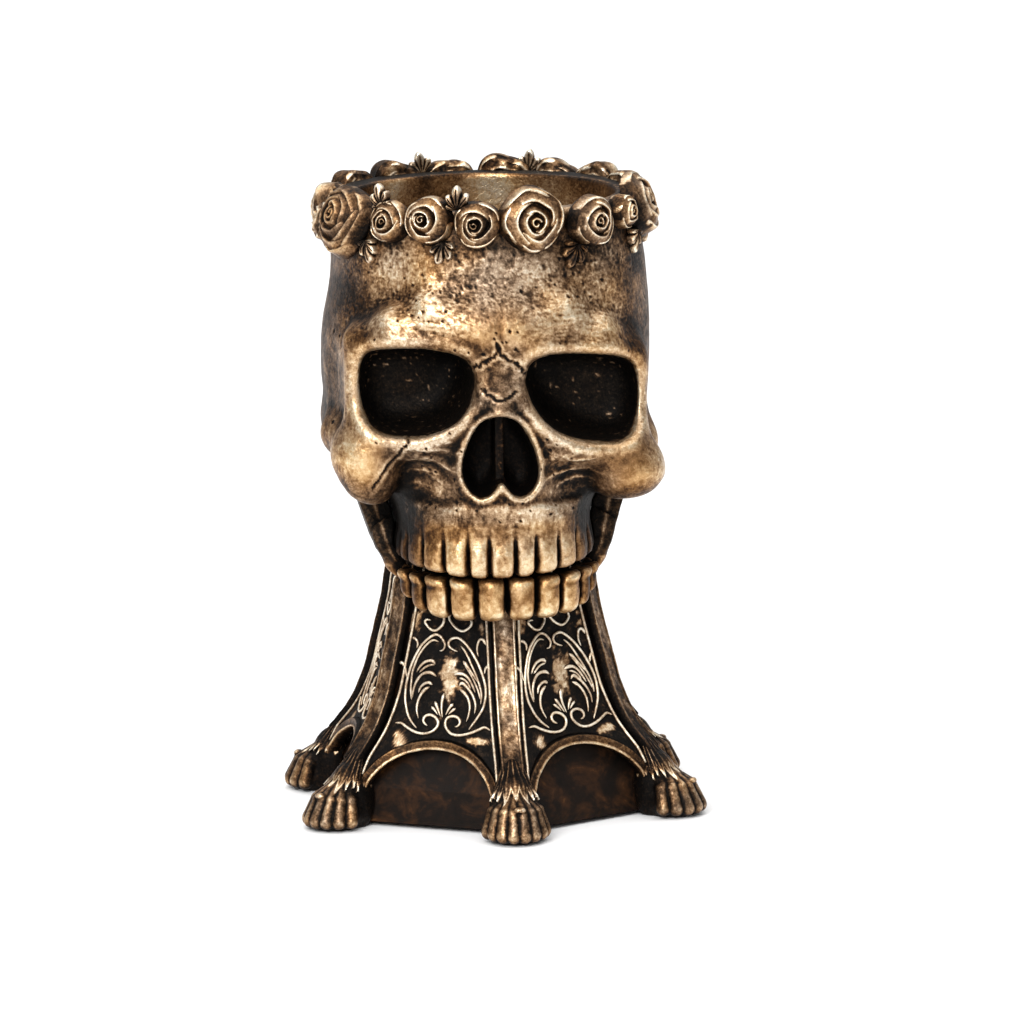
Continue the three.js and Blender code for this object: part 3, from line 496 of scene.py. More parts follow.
# rub sets how much tone a piece takes from how closed in each place is: painted shade in closed places and painted
# highlight on open ones, along with the real dark wash and rubbed paint
def piece(name, V, F, node, mat, slot, tone=None, warm=None, rub=1.0, **extra):
    """Collects one finished shape. F is one array of faces or a list of them."""
    F = F if isinstance(F, list) else [F]
    V = np.asarray(V, float)
    PIECES.append(dict(name=name, V=V, F=F, node=node, mat=mat, slot=slot,
                       tone=np.full(len(V), 0.5) if tone is None else np.asarray(tone, float),
                       warm=np.full(len(V), 0.5) if warm is None else np.asarray(warm, float), rub=rub, **extra))
    return PIECES[-1]


# ----------------------------------------------------------------- the skull
H = 0.6 if FINE else 0.9
V, F = polygonise(skull_field, (-57.6, -60.0, 77.0), (57.6, 58.0, 195.5), H)
N, _ = normals_of(V, F)
sm = Smoother(len(V), F)
X0, FF, Z0 = V[:, 0], -V[:, 1], V[:, 2]
X, Z = face_frame(X0, FF, Z0)
AX = np.abs(X)
S2, N2 = socket2d(np.where(X > 0, AX / 1.05, AX), Z + 0.7 * (X < 0)), nose2d(AX, Z)
facing = -N[:, 1]
front = step(0.05, 0.4, facing) * step(8, 20, FF)
inside = (bore(X0, FF, Z0) < 0.6) & (Z0 > 103)
OUT = skull_outer(X0, FF, Z0)
rim_f = OUT < -1.3
in_socket = (S2 < 1.0) & (FF > 12) & (Z > 116) & (Z < 158) & ~inside & rim_f
in_nose = (N2 < 0.6) & rim_f & (FF > 28) & (AX < 15) & ~inside
skin = ~(inside | in_socket | in_nose)

disp = np.zeros(len(V))
P = V.copy()
# hammered, scratched skin over the whole casting, finest on the forehead
warp = np.column_stack([fbm(P, 9, 2, 11), fbm(P, 9, 2, 12), fbm(P, 9, 2, 13)]) * 6
grain = fbm(P, 1.7, 2, 21) - 0.5
ridged = 1 - np.abs(2 * fbm(P + warp, 4.0, 3, 22) - 1) * 2
scratch = 1 - np.abs(2 * noise((P + warp) * np.array([1.0, 1, 0.42]), 1.35, 31) - 1) * 2
patchy = fbm(P, 14, 2, 33)
sides = np.clip(step(32, 44, AX) * step(138, 154, Z) + (1 - step(0, 26, FF)), 0, 1)
disp += skin * (0.13 * grain + (0.08 * (ridged - 0.4) + 0.06 * (scratch - 0.3) * step(0.40, 0.6, patchy)) * (1 - 0.85 * sides))
disp += skin * 0.45 * (fbm(P, 12, 2, 41) - 0.5)
# sweeping lines over the brow arches
arc_w = front * gauss(Z - (158 + 0.12 * AX), 8) * step(3, 9, AX) * (1 - step(34, 42, AX))
arc_v = (Z - 156) - 0.40 * (AX - 6) + 0.012 * (AX - 6) ** 2 + 1.2 * (fbm(P, 8, 2, 52) - 0.5)
lines = 1 - np.abs(2 * noise(np.column_stack([AX * 0.10 + np.sign(X) * 30, arc_v, FF * 0.05]), 0.8, 51) - 1) * 2
disp += arc_w * 0.10 * lines
# a fine worm-like hammering over the forehead
worm = 1 - np.abs(2 * fbm(P + 0.35 * warp, 1.6, 2, 53) - 1) * 2.2
worm_w = skin * front * step(150, 158, Z) * (0.45 + 0.55 * step(0.40, 0.62, fbm(P, 12, 2, 54)))
disp += worm_w * 0.11 * (worm - 0.4)
# folds of bone under each socket and beside the nose
fold_w = front * gauss(np.hypot((AX - 21) / 9.0, (Z - 114) / 7.5), 0.95) * skin
bend = fbm(P, 8, 3, 61)
fold_r = np.hypot((AX - 25) * 0.75, (Z - 107) * 1.3)
fold = 1 - 2 * np.abs(np.sin(fold_r * 0.62 + 4.2 * bend + np.where(X > 0, 0.9, 0)))
disp += fold_w * 0.34 * fold
# glabella and cheeks are worn smooth
smooth_mask = np.clip(gauss(np.hypot(AX / 11, (Z - 157) / 7), 1.0) * front * 0.75
                      + gauss(np.hypot((AX - 40) / 8, (Z - 114) / 9), 1.0) * step(20, 30, FF) * 0.7, 0, 0.8)
disp *= 1 - smooth_mask

# cracks: the suture over the nose root, the one across the cheek, fine ones above
cracks = [
    ([(-8.4, 145.2), (-7.3, 146.6), (-6.4, 146.2), (-5.2, 147.9), (-4.2, 147.6), (-3.0, 149.2), (-2.0, 149.2),
      (-0.6, 151.4), (0.5, 150.0), (1.6, 149.7), (2.8, 148.3), (4.2, 148.0), (5.4, 146.6), (6.6, 146.0), (7.6, 144.4)], 0.34, 0.48),
    ([(-0.6, 151.4), (-0.5, 152.6), (-0.8, 153.8)], 0.42, 0.6),
    ([(-5.6, 139.4), (-4.0, 137.6), (-2.2, 136.8), (-0.6, 136.1), (1.2, 136.4), (3.4, 137.6), (5.0, 139.2)], 0.34, 0.5),
    ([(-28.0, 123.0), (-28.6, 121.0), (-30.4, 118.8), (-31.4, 116.6), (-33.8, 114.2), (-35.4, 111.8), (-37.4, 109.0), (-39.0, 106.8)], 0.30, 0.36),
]
crack_mask = np.zeros(len(V))
for pts, width, depth in cracks:
    jag = (fbm(P, 1.5, 2, 71) - 0.5) * 1.5
    d, _ = polyline_distance(X + jag, Z + jag * 0.6, pts)
    g = np.exp(-(d / width) ** 2) * step(12, 24, FF) * skin
    crack_mask = np.maximum(crack_mask, g * min(1.0, depth * 1.3))
    disp -= depth * g
    disp += 0.16 * np.exp(-((d - 1.1) / 0.7) ** 2) * step(12, 24, FF) * skin

# little casting pits
rng = np.random.default_rng(926)
pit_mask = np.zeros(len(V))


def add_pits(where, count, r0, r1, depth):
    ids = np.flatnonzero(where)
    if not len(ids):
        return
    for i in rng.choice(ids, count):
        r = rng.uniform(r0, r1)
        near = np.flatnonzero((np.abs(X - X[i]) < 2.4 * r) & (np.abs(Z - Z[i]) < 2.4 * r) & (np.abs(FF - FF[i]) < 2.4 * r))
        d = np.sqrt((X[near] - X[i]) ** 2 + (FF[near] - FF[i]) ** 2 + (Z[near] - Z[i]) ** 2)
        g = np.exp(-(d / r) ** 2.6)
        pit_mask[near] = np.maximum(pit_mask[near], g)
        disp[near] -= depth * r * g * 1.2


brow = skin & (facing > 0.15) & (FF > 14) & (Z > 156) & (Z < 189) & (AX < 44)
add_pits(brow & (X < -6) & (Z < 170) & (Z > 159) & (X > -32), 20, 0.30, 0.44, 0.8)
add_pits(brow & (Z > 168), 34, 0.28, 0.42, 0.8)
add_pits(skin & (FF > 20) & (S2 > 1) & (S2 < 5), 14, 0.30, 0.42, 0.8)
add_pits(skin & (FF > 24) & (AX < 30) & (Z > 97) & (Z < 126), 46, 0.30, 0.42, 0.8)
add_pits(skin & (Z > 95) & (Z < 185) & (FF < 22), 90, 0.34, 0.6, 0.6)
add_pits(skin & (np.hypot(AX, Z - 152) < 8) & (FF > 30), 12, 0.32, 0.5, 1.0)

V = V + N * disp[:, None]
N, _ = normals_of(V, F)

c1 = np.einsum("ij,ij->i", sm.smooth(V, 3) - V, N)
c2 = np.einsum("ij,ij->i", sm.smooth(V, 22) - V, N)
tone = np.full(len(V), 0.50)
tone += np.clip(-c1 * 2.2, -0.36, 0.20) + np.clip(-c2 * 0.66, -0.30, 0.22)
# the sides and back are darker: the dark wash stays there, and this is also painted shade where they turn from the
# light; the rub catches the face
side_wash_and_shade = np.clip(step(33, 45, AX + 6 * (fbm(P, 10, 3, 81) - 0.5)) * step(138, 154, Z) + (1 - step(-6, 24, FF)) * 0.95, 0, 1)
tone -= 0.26 * side_wash_and_shade
blot = fbm(P, 11, 3, 91)
speck = fbm(P, 2.2, 3, 92)
tone += worm_w * (1 - smooth_mask) * 0.06 * (worm - 0.45)
tone += (blot - 0.5) * 0.46 + (speck - 0.5) * 0.34 * (1 - smooth_mask)
# painted highlight on the upper left forehead and along the brow arches; darker on the upper right forehead and in a
# band along the top
tone += front * (0.14 * gauss(np.hypot((X + 24) / 11, (Z - 173) / 11), 1) + 0.12 * gauss(np.hypot((AX - 22) / 16, (Z - 158) / 4.5), 1)
                 - 0.10 * gauss(np.hypot((X - 26) / 12, (Z - 176) / 10), 1) - 0.12 * gauss(np.hypot(X / 24, (Z - 184) / 4), 1))
edge_line = gauss(S2 - 0.5, 1.2) * step(18, 30, FF) * skin
tone += 0.12 * gauss(N2 - 0.3, 0.7) * step(36, 44, FF) * skin * (0.4 + 0.6 * (X > 0))
tone += front * skin * (0.11 * gauss(np.hypot((X - 8) / 14, (Z - 170) / 9), 1) + 0.20 * gauss(np.hypot((X - 32) / 11, (Z - 165) / 12), 1)
                        - 0.05 * gauss(np.hypot((X + 22) / 10, (Z - 166) / 8), 1) - 0.32 * gauss(np.hypot((X + 22) / 17, (Z - 151) / 4.2), 1)
                        - 0.10 * gauss(np.hypot((X - 28) / 14, (Z - 150.5) / 4), 1))
tone = np.where(skin, np.minimum(tone, 0.80 - 0.16 * edge_line - 0.10 * gauss(N2, 2)), tone)
tone -= 0.05 * gauss(np.hypot((AX - 38) / 6.5, (Z - 117) / 8), 1) * step(18, 30, FF)
tone -= 0.12 * front * gauss(np.hypot(AX / 12, (Z - 158) / 8), 1) + 0.10 * front * step(4, 20, X) * gauss((Z - 156) / 6, 1)
# the inner side of each socket and the nose root stay dull
tone -= front * (0.30 * gauss(np.hypot(AX / 9, (Z - 140) / 9), 1) + 0.07 * gauss(np.hypot((AX - 18) / 10, (Z - 114) / 8), 1))
# painted shade in the hollows behind the cheek and below it, at the sides below the cheeks and low at the back
cheek_hollow_shade = np.clip(1 - ell(AX, FF, Z, (41, 16, 99), (13, 20, 17)) / 3.0, 0, 1) * (1 - gauss(np.hypot((AX - 40) / 9, (Z - 114) / 9), 1.2))
tone -= 0.42 * cheek_hollow_shade * (Z < 112)
tone -= 0.34 * step(17, 29, AX) * (1 - step(104, 114, Z)) * (FF > 0)
tone -= 0.30 * (1 - step(8, 26, FF)) * (1 - step(106, 118, Z))
UPPER_S = row_position(AX, FF, 14, UPPER)
teeth = (1 - step(95, 99, Z)) * step(2, 8, FF) * step(-4.2, -1.0, tooth_plan(AX, FF))
g_up = np.interp(UPPER_S, UP_S, UP_G)
tone += teeth * (-0.03 - 0.48 * g_up * (1 - step(85, 93, Z)))
tone -= 0.16 * teeth * step(24, 28, AX)
tone -= 0.30 * gauss(Z - 79.3, 1.2) * teeth
tone -= 0.50 * crack_mask + 0.62 * np.clip(pit_mask * 1.3, 0, 1)
tone[in_socket | in_nose] = 0.04
tone[in_socket] = 0.085
star = noise(P, 0.9, 95)
tone[in_socket] += (0.5 * step(0.77, 0.92, star) * step(0.40, 0.58, fbm(P, 7, 2, 96) + 0.06 * (X < 0)))[in_socket]
tone[in_nose] += (0.36 * step(0.66, 0.9, star) * gauss(X, 2.6))[in_nose]
tone[inside] = 0.44 + 0.6 * (blot[inside] - 0.5)
tone -= 0.30 * gauss(Z0 - 193, 1.3) * (1 - step(10, 30, FF))
patch = inside & (FF < -30) & (Z > 150)
tone[patch] += 0.50 * np.clip(gauss(np.hypot((X - 6) / 9, (Z - 193) / 16), 1) + gauss(np.hypot((X + 24) / 7, (Z - 195) / 9), 1) * 0.6, 0, 1)[patch]
tone[(Z0 < 84) & (tooth_plan(AX, FF) < -3)] = 0.05
warm = 0.42 + 0.9 * (fbm(P, 15, 2, 101) - 0.5) - 0.22 * side_wash_and_shade
warm += front * (0.60 * gauss(np.hypot(AX / 14, (Z - 156.5) / 6.0), 1) + 0.45 * gauss(np.hypot((X + 21) / 6, (Z - 176) / 10), 1))
warm += 0.45 * gauss(np.hypot((AX - 42) / 9, (Z - 111) / 10), 1) + 0.38 * teeth + 0.30 * side_wash_and_shade
warm -= 0.16 * front * (Z < 104) * (1 - teeth)
warm -= 0.35 * front * gauss(np.hypot(AX / 22, (Z - 175) / 8), 1)
warm[in_socket] = 0.1
warm += 0.25 * side_wash_and_shade
skull_piece = piece("skull_casting", V, F, "skull_vessel", "bronze", "antique_bronze", tone, np.clip(warm, 0, 1), 0.35,
                    grit=1 - np.clip(0.75 * smooth_mask + 0.35 * teeth, 0, 0.7))
skull_piece["hold"] = in_socket | in_nose

# ------------------------------------------------------------------- the jaw
HJ = 0.5 if FINE else 0.8
V, F = polygonise(jaw_field, (-48, -4, 63), (48, 49.5, 110), HJ, margin=3.0)
N, _ = normals_of(V, F)
smj = Smoother(len(V), F)
X, FF, Z = V[:, 0], -V[:, 1], V[:, 2]
AX = np.abs(X)
P = V.copy()
V = V + N * (0.22 * (fbm(P, 2.6, 3, 121) - 0.5) + 0.3 * (fbm(P, 6, 2, 122) - 0.5))[:, None]
V[:, 2] = np.maximum(V[:, 2], 65.6)
N, _ = normals_of(V, F)
c1 = np.einsum("ij,ij->i", smj.smooth(V, 3) - V, N)
c2 = np.einsum("ij,ij->i", smj.smooth(V, 26) - V, N)
flare = jaw_width(Z)
s_low = row_position(AX / flare, FF, 6, LOWER)
g_low = np.interp(s_low, LO_S, LO_G)
block = (1 - step(77, 84, Z)) * step(5, 14, FF)
tone = 0.42 + np.clip(-c1 * 2.6, -0.4, 0.28) + np.clip(-c2 * 0.7, -0.32, 0.24) + 0.50 * (fbm(P, 3.2, 3, 131) - 0.5)
tone -= 0.55 * g_low * block
# painted shade on the blocks at the sides of the row, which turn from the light
tone -= 0.28 * step(22, 27, AX) * block
tone = np.where(block < 0.5, np.minimum(tone, 0.5), tone)
# outside the tooth blocks the jaw gets painted shade, with a painted highlight strip along the inner edge of the ramus;
# then darker towards the bottom
tone -= (1 - block) * (0.30 - 0.50 * gauss(AX / flare - 30.6, 0.55) * step(2, 8, FF))
tone -= 0.25 * (1 - step(66, 68.5, Z))
warm = np.clip(1.0 * block + 0.3 * (1 - block) + 0.3 * (fbm(P, 7, 2, 141) - 0.5), 0, 1)
piece("jaw_casting", V, F, "lower_jaw", "bronze", "antique_bronze", tone - 0.04 * block, warm, 0.4, grit=1 - 0.45 * block)


# ------------------------------------------------------------- sweep helpers
def grid_faces(nu, nv, wrap_u=False, wrap_v=False, base=0):
    u = np.arange(nu if wrap_u else nu - 1)
    v = np.arange(nv if wrap_v else nv - 1)
    U, W = np.meshgrid(u, v, indexing="ij")
    a = U * nv + W
    b = ((U + 1) % nu) * nv + W
    c = ((U + 1) % nu) * nv + (W + 1) % nv
    d = U * nv + (W + 1) % nv
    return np.stack([a, b, c, d], -1).reshape(-1, 4) + base


def cap(ring):
    """Triangles that close a ring of vertex numbers (a fan)."""
    ring = np.asarray(ring)
    return np.column_stack([np.full(len(ring) - 2, ring[0]), ring[1:-1], ring[2:]])


def loft(rings):
    """rings: (n, m, 3) closed rings along a length; closed with caps at both ends."""
    n, m, _ = rings.shape
    V = rings.reshape(-1, 3)
    Fq = grid_faces(n, m, False, True)
    tris = np.concatenate([cap(np.arange(m)), cap(np.arange(m)[::-1] + (n - 1) * m)])
    a, b, c, d = (V[Fq[:, i]] for i in range(4))
    vol = (np.einsum("ij,ij->i", a, np.cross(b, c)) + np.einsum("ij,ij->i", a, np.cross(c, d))).sum()
    if vol < 0:
        Fq = Fq[:, ::-1]
    else:
        tris = tris[:, ::-1]
    # caps must face the other way from the first ring's winding
    e = {}
    q0 = Fq[0]
    pair = {(int(q0[i]), int(q0[(i + 1) % 4])) for i in range(4)}
    ring_edges = [(p, q) for p, q in pair if p < m and q < m]
    p, q = ring_edges[0]
    t = tris[:m - 2]
    same = any((int(r[i]), int(r[(i + 1) % 3])) == (p, q) for r in t for i in range(3))
    if same:
        tris = tris[:, ::-1]
    return V, [Fq, tris]


def merge(parts):
    """parts: list of (V, [quads, tris], *attributes)."""
    base, vs, qs, ts = 0, [], [], []
    attrs = [[] for _ in parts[0][2:]]
    for p in parts:
        vs.append(p[0])
        qs.append(p[1][0] + base)
        ts.append(p[1][1] + base)
        for i, a in enumerate(p[2:]):
            attrs[i].append(a)
        base += len(p[0])
    return (np.concatenate(vs), [np.concatenate(qs), np.concatenate(ts)]) + tuple(np.concatenate(a) for a in attrs)


def spline(points, per=8):
    """Centripetal-free Catmull-Rom through the points."""
    p = np.asarray(points, float)
    q = np.vstack([2 * p[0] - p[1], p, 2 * p[-1] - p[-2]])
    out = []
    for i in range(1, len(q) - 2):
        t = np.linspace(0, 1, per, endpoint=False)[:, None]
        a, b, c, d = q[i - 1], q[i], q[i + 1], q[i + 2]
        out.append(0.5 * (2 * b + (c - a) * t + (2 * a - 5 * b + 4 * c - d) * t**2 + (3 * b - a - 3 * c + d) * t**3))
    out.append(p[-1:])
    return np.vstack(out)


def resample(p, spacing):
    s = np.concatenate([[0], np.cumsum(np.linalg.norm(np.diff(p, axis=0), axis=1))])
    n = max(int(round(s[-1] / spacing)), 4) + 1
    t = np.linspace(0, s[-1], n)
    return np.column_stack([np.interp(t, s, p[:, k]) for k in range(p.shape[1])]), t / s[-1]


def turn_z(V, angle):
    c, s = math.cos(angle), math.sin(angle)
    return np.column_stack([V[:, 0] * c - V[:, 1] * s, V[:, 0] * s + V[:, 1] * c, V[:, 2]])


# -------------------------------------------------- panels: local X is outward
def on_face(s, z, out=0.0):
    """A point of a panel's face: s sideways, z up, out along the face's normal."""
    z = np.asarray(z, float)
    a = face_apothem(z)
    slope = (face_apothem(z + 0.5) - face_apothem(z - 0.5))
    k = 1 / np.sqrt(1 + slope**2)
    return np.column_stack([a + out * k, s, z - out * k * slope])


def face_normal(z):
    slope = (face_apothem(z + 0.5) - face_apothem(z - 0.5))
    k = 1 / np.sqrt(1 + slope**2)
    return np.column_stack([k, np.zeros_like(k), -slope * k])


def stroke(points, width, height, lift=0.25, taper=(0.35, 0.35), per=8, spacing=0.55, widen=None, bright=1.0):
    """A rounded ridge along a line drawn on a panel's face."""
    path, t = resample(spline(points, per), spacing)
    C = on_face(path[:, 0], path[:, 1], -0.05)
    Nf = face_normal(path[:, 1])
    T = np.gradient(C, axis=0)
    T /= np.linalg.norm(T, axis=1, keepdims=True)
    B = np.cross(T, Nf)
    B /= np.linalg.norm(B, axis=1, keepdims=True)
    size = np.ones(len(t))
    size *= np.minimum(1, taper[0] + (1 - taper[0]) * np.sqrt(np.clip(t / 0.10, 0, 1)))
    size *= np.minimum(1, taper[1] + (1 - taper[1]) * np.sqrt(np.clip((1 - t) / 0.10, 0, 1)))
    if widen is not None:
        size *= np.interp(t, widen[0], widen[1])
    ang = np.linspace(0, math.pi, 8)
    pu = np.concatenate([[1.0], np.cos(ang), [-1.0]])
    pv = np.concatenate([[-0.9], np.sin(ang) * 1.0, [-0.9]])
    rings = (C[:, None, :] + B[:, None, :] * (pu[None, :, None] * (size * width / 2)[:, None, None])
             + Nf[:, None, :] * (pv[None, :, None] * np.where(pv > 0, 1, 0.6 / height)[None, :, None] * (height * (0.45 + 0.55 * size))[:, None, None] + lift * 0))
    V, F = loft(rings)
    tone_ring = np.clip(-0.15 + 1.45 * np.clip(pv, -0.2, 1), 0.0, 1.0) * bright
    return V, F, np.tile(tone_ring, len(path)), np.full(len(V), 0.18)


def mirror(points):
    return [(-s, z) for s, z in points]


bulb = dict(widen=([0, 0.12, 0.3, 0.7, 1], [0.9, 1.35, 1.1, 0.9, 0.55]))
strokes = [
    # base scrolls and the two big curves that rise from them
    ([(16.8, 31.2), (14.9, 31.9), (13.1, 31.2), (11.0, 30.2), (8.8, 29.5), (6.5, 29.1), (4.1, 29.4), (2.2, 30.7), (1.4, 32.3),
      (1.9, 33.9), (3.8, 34.5), (5.6, 34.0), (6.3, 32.7), (5.7, 31.7), (4.8, 31.5)], 0.90, 0.80, {}),
    ([(-15.4, 31.4), (-13.4, 31.5), (-11.6, 30.6), (-9.8, 29.8), (-7.7, 29.1), (-5.2, 28.9), (-3.0, 29.4), (-1.5, 30.6), (-0.96, 32.1),
      (-1.8, 33.5), (-3.3, 34.3), (-4.7, 34.4), (-5.9, 33.7), (-6.1, 32.6), (-5.5, 31.8), (-4.6, 31.3)], 0.90, 0.80, {}),
    ([(3.1, 53.9), (1.6, 54.4), (0.3, 55.2), (-0.06, 56.5), (0.9, 57.65), (2.9, 58.0), (4.9, 57.0), (7.1, 55.0), (8.9, 52.8), (10.6, 50.3),
      (12.0, 47.6), (13.1, 44.9), (13.7, 42.2), (13.7, 39.4), (13.3, 37.3), (12.3, 35.2), (11.1, 33.25), (9.6, 31.0)], 0.85, 0.80, {}),
    ([(-2.9, 53.8), (-1.9, 54.0), (-1.2, 55.4), (-1.8, 56.9), (-3.1, 58.2), (-4.5, 58.6), (-6.0, 58.0), (-7.5, 56.8), (-9.1, 55.1),
      (-10.4, 52.9), (-11.7, 50.0), (-12.6, 47.1), (-13.2, 44.2), (-13.4, 41.4), (-13.2, 38.7), (-12.4, 36.0), (-11.5, 34.0),
      (-10.0, 32.1), (-8.0, 30.4)], 0.85, 0.80, {}),
    ([(-3.5, 56.5), (-5.1, 56.9), (-6.6, 56.2), (-8.4, 54.3), (-9.9, 51.9), (-10.9, 49.3), (-11.6, 46.8), (-11.75, 43.6), (-11.6, 40.85),
      (-11.1, 38.5)], 0.70, 0.65, {}),
    ([(4.1, 55.6), (5.6, 54.15), (7.0, 52.15), (8.2, 50.1), (9.4, 48.1), (10.6, 45.8), (11.65, 43.4), (12.3, 41.0), (12.3, 38.6)], 0.70, 0.65, {}),
    # leaves inside the curves
    ([(-4.15, 49.6), (-4.8, 50.45), (-6.2, 50.6), (-7.8, 50.0), (-9.1, 48.7), (-10.2, 46.9)], 0.85, 0.75, bulb),
    ([(-4.3, 49.5), (-6.1, 49.2), (-7.8, 48.2), (-9.2, 46.9)], 0.65, 0.6, {}),
    ([(-3.5, 46.0), (-4.6, 46.8), (-6.3, 47.0), (-8.1, 46.4), (-9.5, 44.9), (-10.4, 43.0), (-10.8, 41.1), (-10.9, 39.0)], 0.90, 0.75, bulb),
    ([(-4.6, 43.4), (-5.8, 44.0), (-7.3, 43.5), (-8.5, 42.3), (-9.0, 40.7)], 0.85, 0.75, bulb),
    ([(-5.5, 42.7), (-7.1, 41.6), (-8.3, 39.7), (-8.9, 37.6), (-8.8, 35.4), (-7.9, 33.2)], 0.85, 0.75, bulb),
    ([(5.2, 51.2), (6.55, 49.9), (7.9, 48.35), (9.2, 46.9), (10.55, 45.2)], 0.85, 0.75, bulb),
    ([(5.5, 50.6), (7.1, 48.6), (8.7, 46.4), (10.2, 44.0), (11.3, 41.8), (12.0, 39.95)], 0.65, 0.6, {}),
    ([(2.5, 46.8), (4.0, 47.35), (6.0, 47.1), (7.7, 45.8), (9.0, 43.9), (10.1, 41.9)], 0.90, 0.75, bulb),
    ([(4.4, 46.0), (6.0, 45.6), (7.4, 44.5), (8.4, 43.0)], 0.65, 0.6, {}),
    ([(4.5, 43.5), (5.35, 44.5), (6.8, 43.7), (8.5, 42.1), (9.9, 40.1), (10.7, 37.8), (10.65, 35.6)], 0.85, 0.75, bulb),
    ([(4.8, 42.6), (6.6, 41.5), (7.95, 39.9), (8.8, 37.6), (8.8, 35.3), (8.3, 33.2)], 0.80, 0.7, bulb),
    # little hooks outside them
    ([(-12.5, 57.15), (-11.35, 56.9), (-10.5, 55.7), (-10.7, 54.1)], 0.80, 0.7, bulb),
    ([(12.5, 56.4), (11.6, 57.9), (10.4, 58.0), (9.8, 56.85), (9.6, 55.0), (10.2, 52.9)], 0.80, 0.7, bulb),
    ([(-16.5, 49.3), (-15.2, 49.4), (-14.15, 48.0), (-13.7, 46.2), (-13.1, 44.8)], 0.80, 0.7, bulb),
    ([(14.4, 50.6), (13.05, 49.5), (12.7, 47.7)], 0.80, 0.7, bulb),
    # the palmette between the base scrolls
    ([(0.1, 33.9), (-0.56, 36.6), (-0.7, 38.6), (-0.3, 41.1)], 0.95, 0.8, dict(widen=([0, 0.5, 0.85, 1], [0.4, 0.9, 1.2, 0.7]))),
    ([(-0.6, 34.2), (-1.9, 36.5), (-3.1, 38.5)], 0.90, 0.75, dict(widen=([0, 0.5, 0.85, 1], [0.4, 0.9, 1.2, 0.7]))),
    ([(1.05, 34.7), (1.9, 36.6), (3.1, 38.2)], 0.90, 0.75, dict(widen=([0, 0.5, 0.85, 1], [0.4, 0.9, 1.2, 0.7]))),
    ([(-1.6, 34.6), (-2.7, 35.8), (-4.1, 36.9)], 0.80, 0.7, dict(widen=([0, 0.5, 0.85, 1], [0.4, 0.9, 1.2, 0.7]))),
    ([(1.9, 34.9), (2.8, 35.8), (4.1, 36.9)], 0.80, 0.7, dict(widen=([0, 0.5, 0.85, 1], [0.4, 0.9, 1.2, 0.7]))),
    # the upper scrolls, which run on up under the teeth
    ([(-1.6, 72.4), (-2.9, 71.9), (-3.6, 70.2), (-3.3, 68.2), (-2.6, 66.2), (-2.2, 64.1), (-2.3, 62.3), (-3.3, 60.85), (-4.8, 59.8), (-6.5, 60.1),
      (-7.8, 61.2), (-8.6, 62.3), (-8.0, 63.0), (-6.6, 62.85)], 0.85, 0.75, {}),
    ([(1.0, 72.4), (2.4, 71.9), (3.0, 70.2), (2.2, 68.2), (0.6, 66.4), (-0.5, 64.2), (0.44, 62.5), (2.2, 60.9), (4.2, 60.15), (6.1, 61.0),
      (7.2, 62.4), (6.9, 63.8), (5.7, 64.1)], 0.85, 0.75, {}),
    ([(-5.0, 64.4), (-5.9, 66.2), (-5.6, 68.4)], 0.75, 0.65, bulb),
    ([(4.6, 65.6), (5.6, 67.2), (5.2, 69.2)], 0.75, 0.65, bulb),
    ([(-0.2, 73.0), (-0.3, 75.4), (-0.2, 78.0)], 0.95, 0.8, dict(widen=([0, 0.5, 0.85, 1], [0.4, 0.8, 1.25, 1.0]))),
    ([(-0.9, 73.8), (-2.0, 75.6), (-3.8, 76.6), (-4.8, 75.6)], 0.80, 0.7, bulb),
    ([(0.6, 73.8), (1.7, 75.6), (3.5, 76.6), (4.5, 75.6)], 0.80, 0.7, bulb),
]


def scroll_shapes():
    out = []
    for pts, w, h, kw in strokes:
        out.append(stroke(pts, w * 1.22, h * 1.12, **kw))
    # one bead down each side, next to the rib
    zz = np.linspace(16.5, 82.5, 40)
    s = (face_apothem(zz) * 0.5 - 4.7) / math.cos(30 * D)
    for sgn in (-1, 1):
        out.append(stroke([(sgn * a, b) for a, b in zip(s, zz)], 1.1, 0.95, per=2, spacing=1.0, taper=(0.8, 0.8), bright=0.98))
    return merge(out)


ARCH_HALF, ARCH_SPRING, ARCH_TOP, ARCH_BAND = 21.5, 9.0, 24.6, 3.0


def panel_plate():
    nu, nv = (61, 110) if FINE else (31, 56)
    u = np.linspace(-1, 1, nu)[:, None] * np.ones((1, nv))
    v = np.linspace(0, 1, nv)[None, :] * np.ones((nu, 1))

    def half(z):
        return (face_apothem(z) * 0.5 - 3.8) / math.cos(30 * D)

    grow = ARCH_BAND + 0.2
    zl = np.full(nu, 24.0)
    for _ in range(60):
        s = np.abs(u[:, 0]) * half(zl)
        q = np.clip(1 - (s / (ARCH_HALF + grow)) ** 2, 0, 1)
        zl = 0.5 * zl + 0.5 * np.maximum(ARCH_SPRING + (ARCH_TOP - ARCH_SPRING + grow) * np.sqrt(q), 13.6)
    z = zl[:, None] + v * (83.3 - zl[:, None])
    s = u * half(z)
    Pf = np.column_stack([s.ravel(), z.ravel(), np.zeros(s.size)])
    out = 0.35 * (fbm(Pf, 2.6, 3, 151) - 0.5) + 0.25 * (fbm(Pf, 0.95, 2, 152) - 0.5)
    front_v = on_face(s.ravel(), z.ravel(), out)
    back_v = on_face(s.ravel(), z.ravel(), -1.9)
    V = np.vstack([front_v, back_v])
    Fq = grid_faces(nu, nv)
    n = nu * nv
    edge = np.concatenate([np.arange(nu) * nv, (nu - 1) * nv + np.arange(1, nv), np.arange(nu - 2, -1, -1) * nv + nv - 1, np.arange(nv - 2, 0, -1)])
    nxt = np.roll(edge, -1)
    walls = np.column_stack([edge, nxt, nxt + n, edge + n])
    allq = np.concatenate([Fq, Fq[:, ::-1] + n, walls[:, ::-1]])
    if volume(V, allq) < 0:
        allq = allq[:, ::-1]
    ss, zz = np.concatenate([s.ravel()] * 2), np.concatenate([z.ravel()] * 2)
    return V, [allq, np.zeros((0, 3), int)], ss, zz


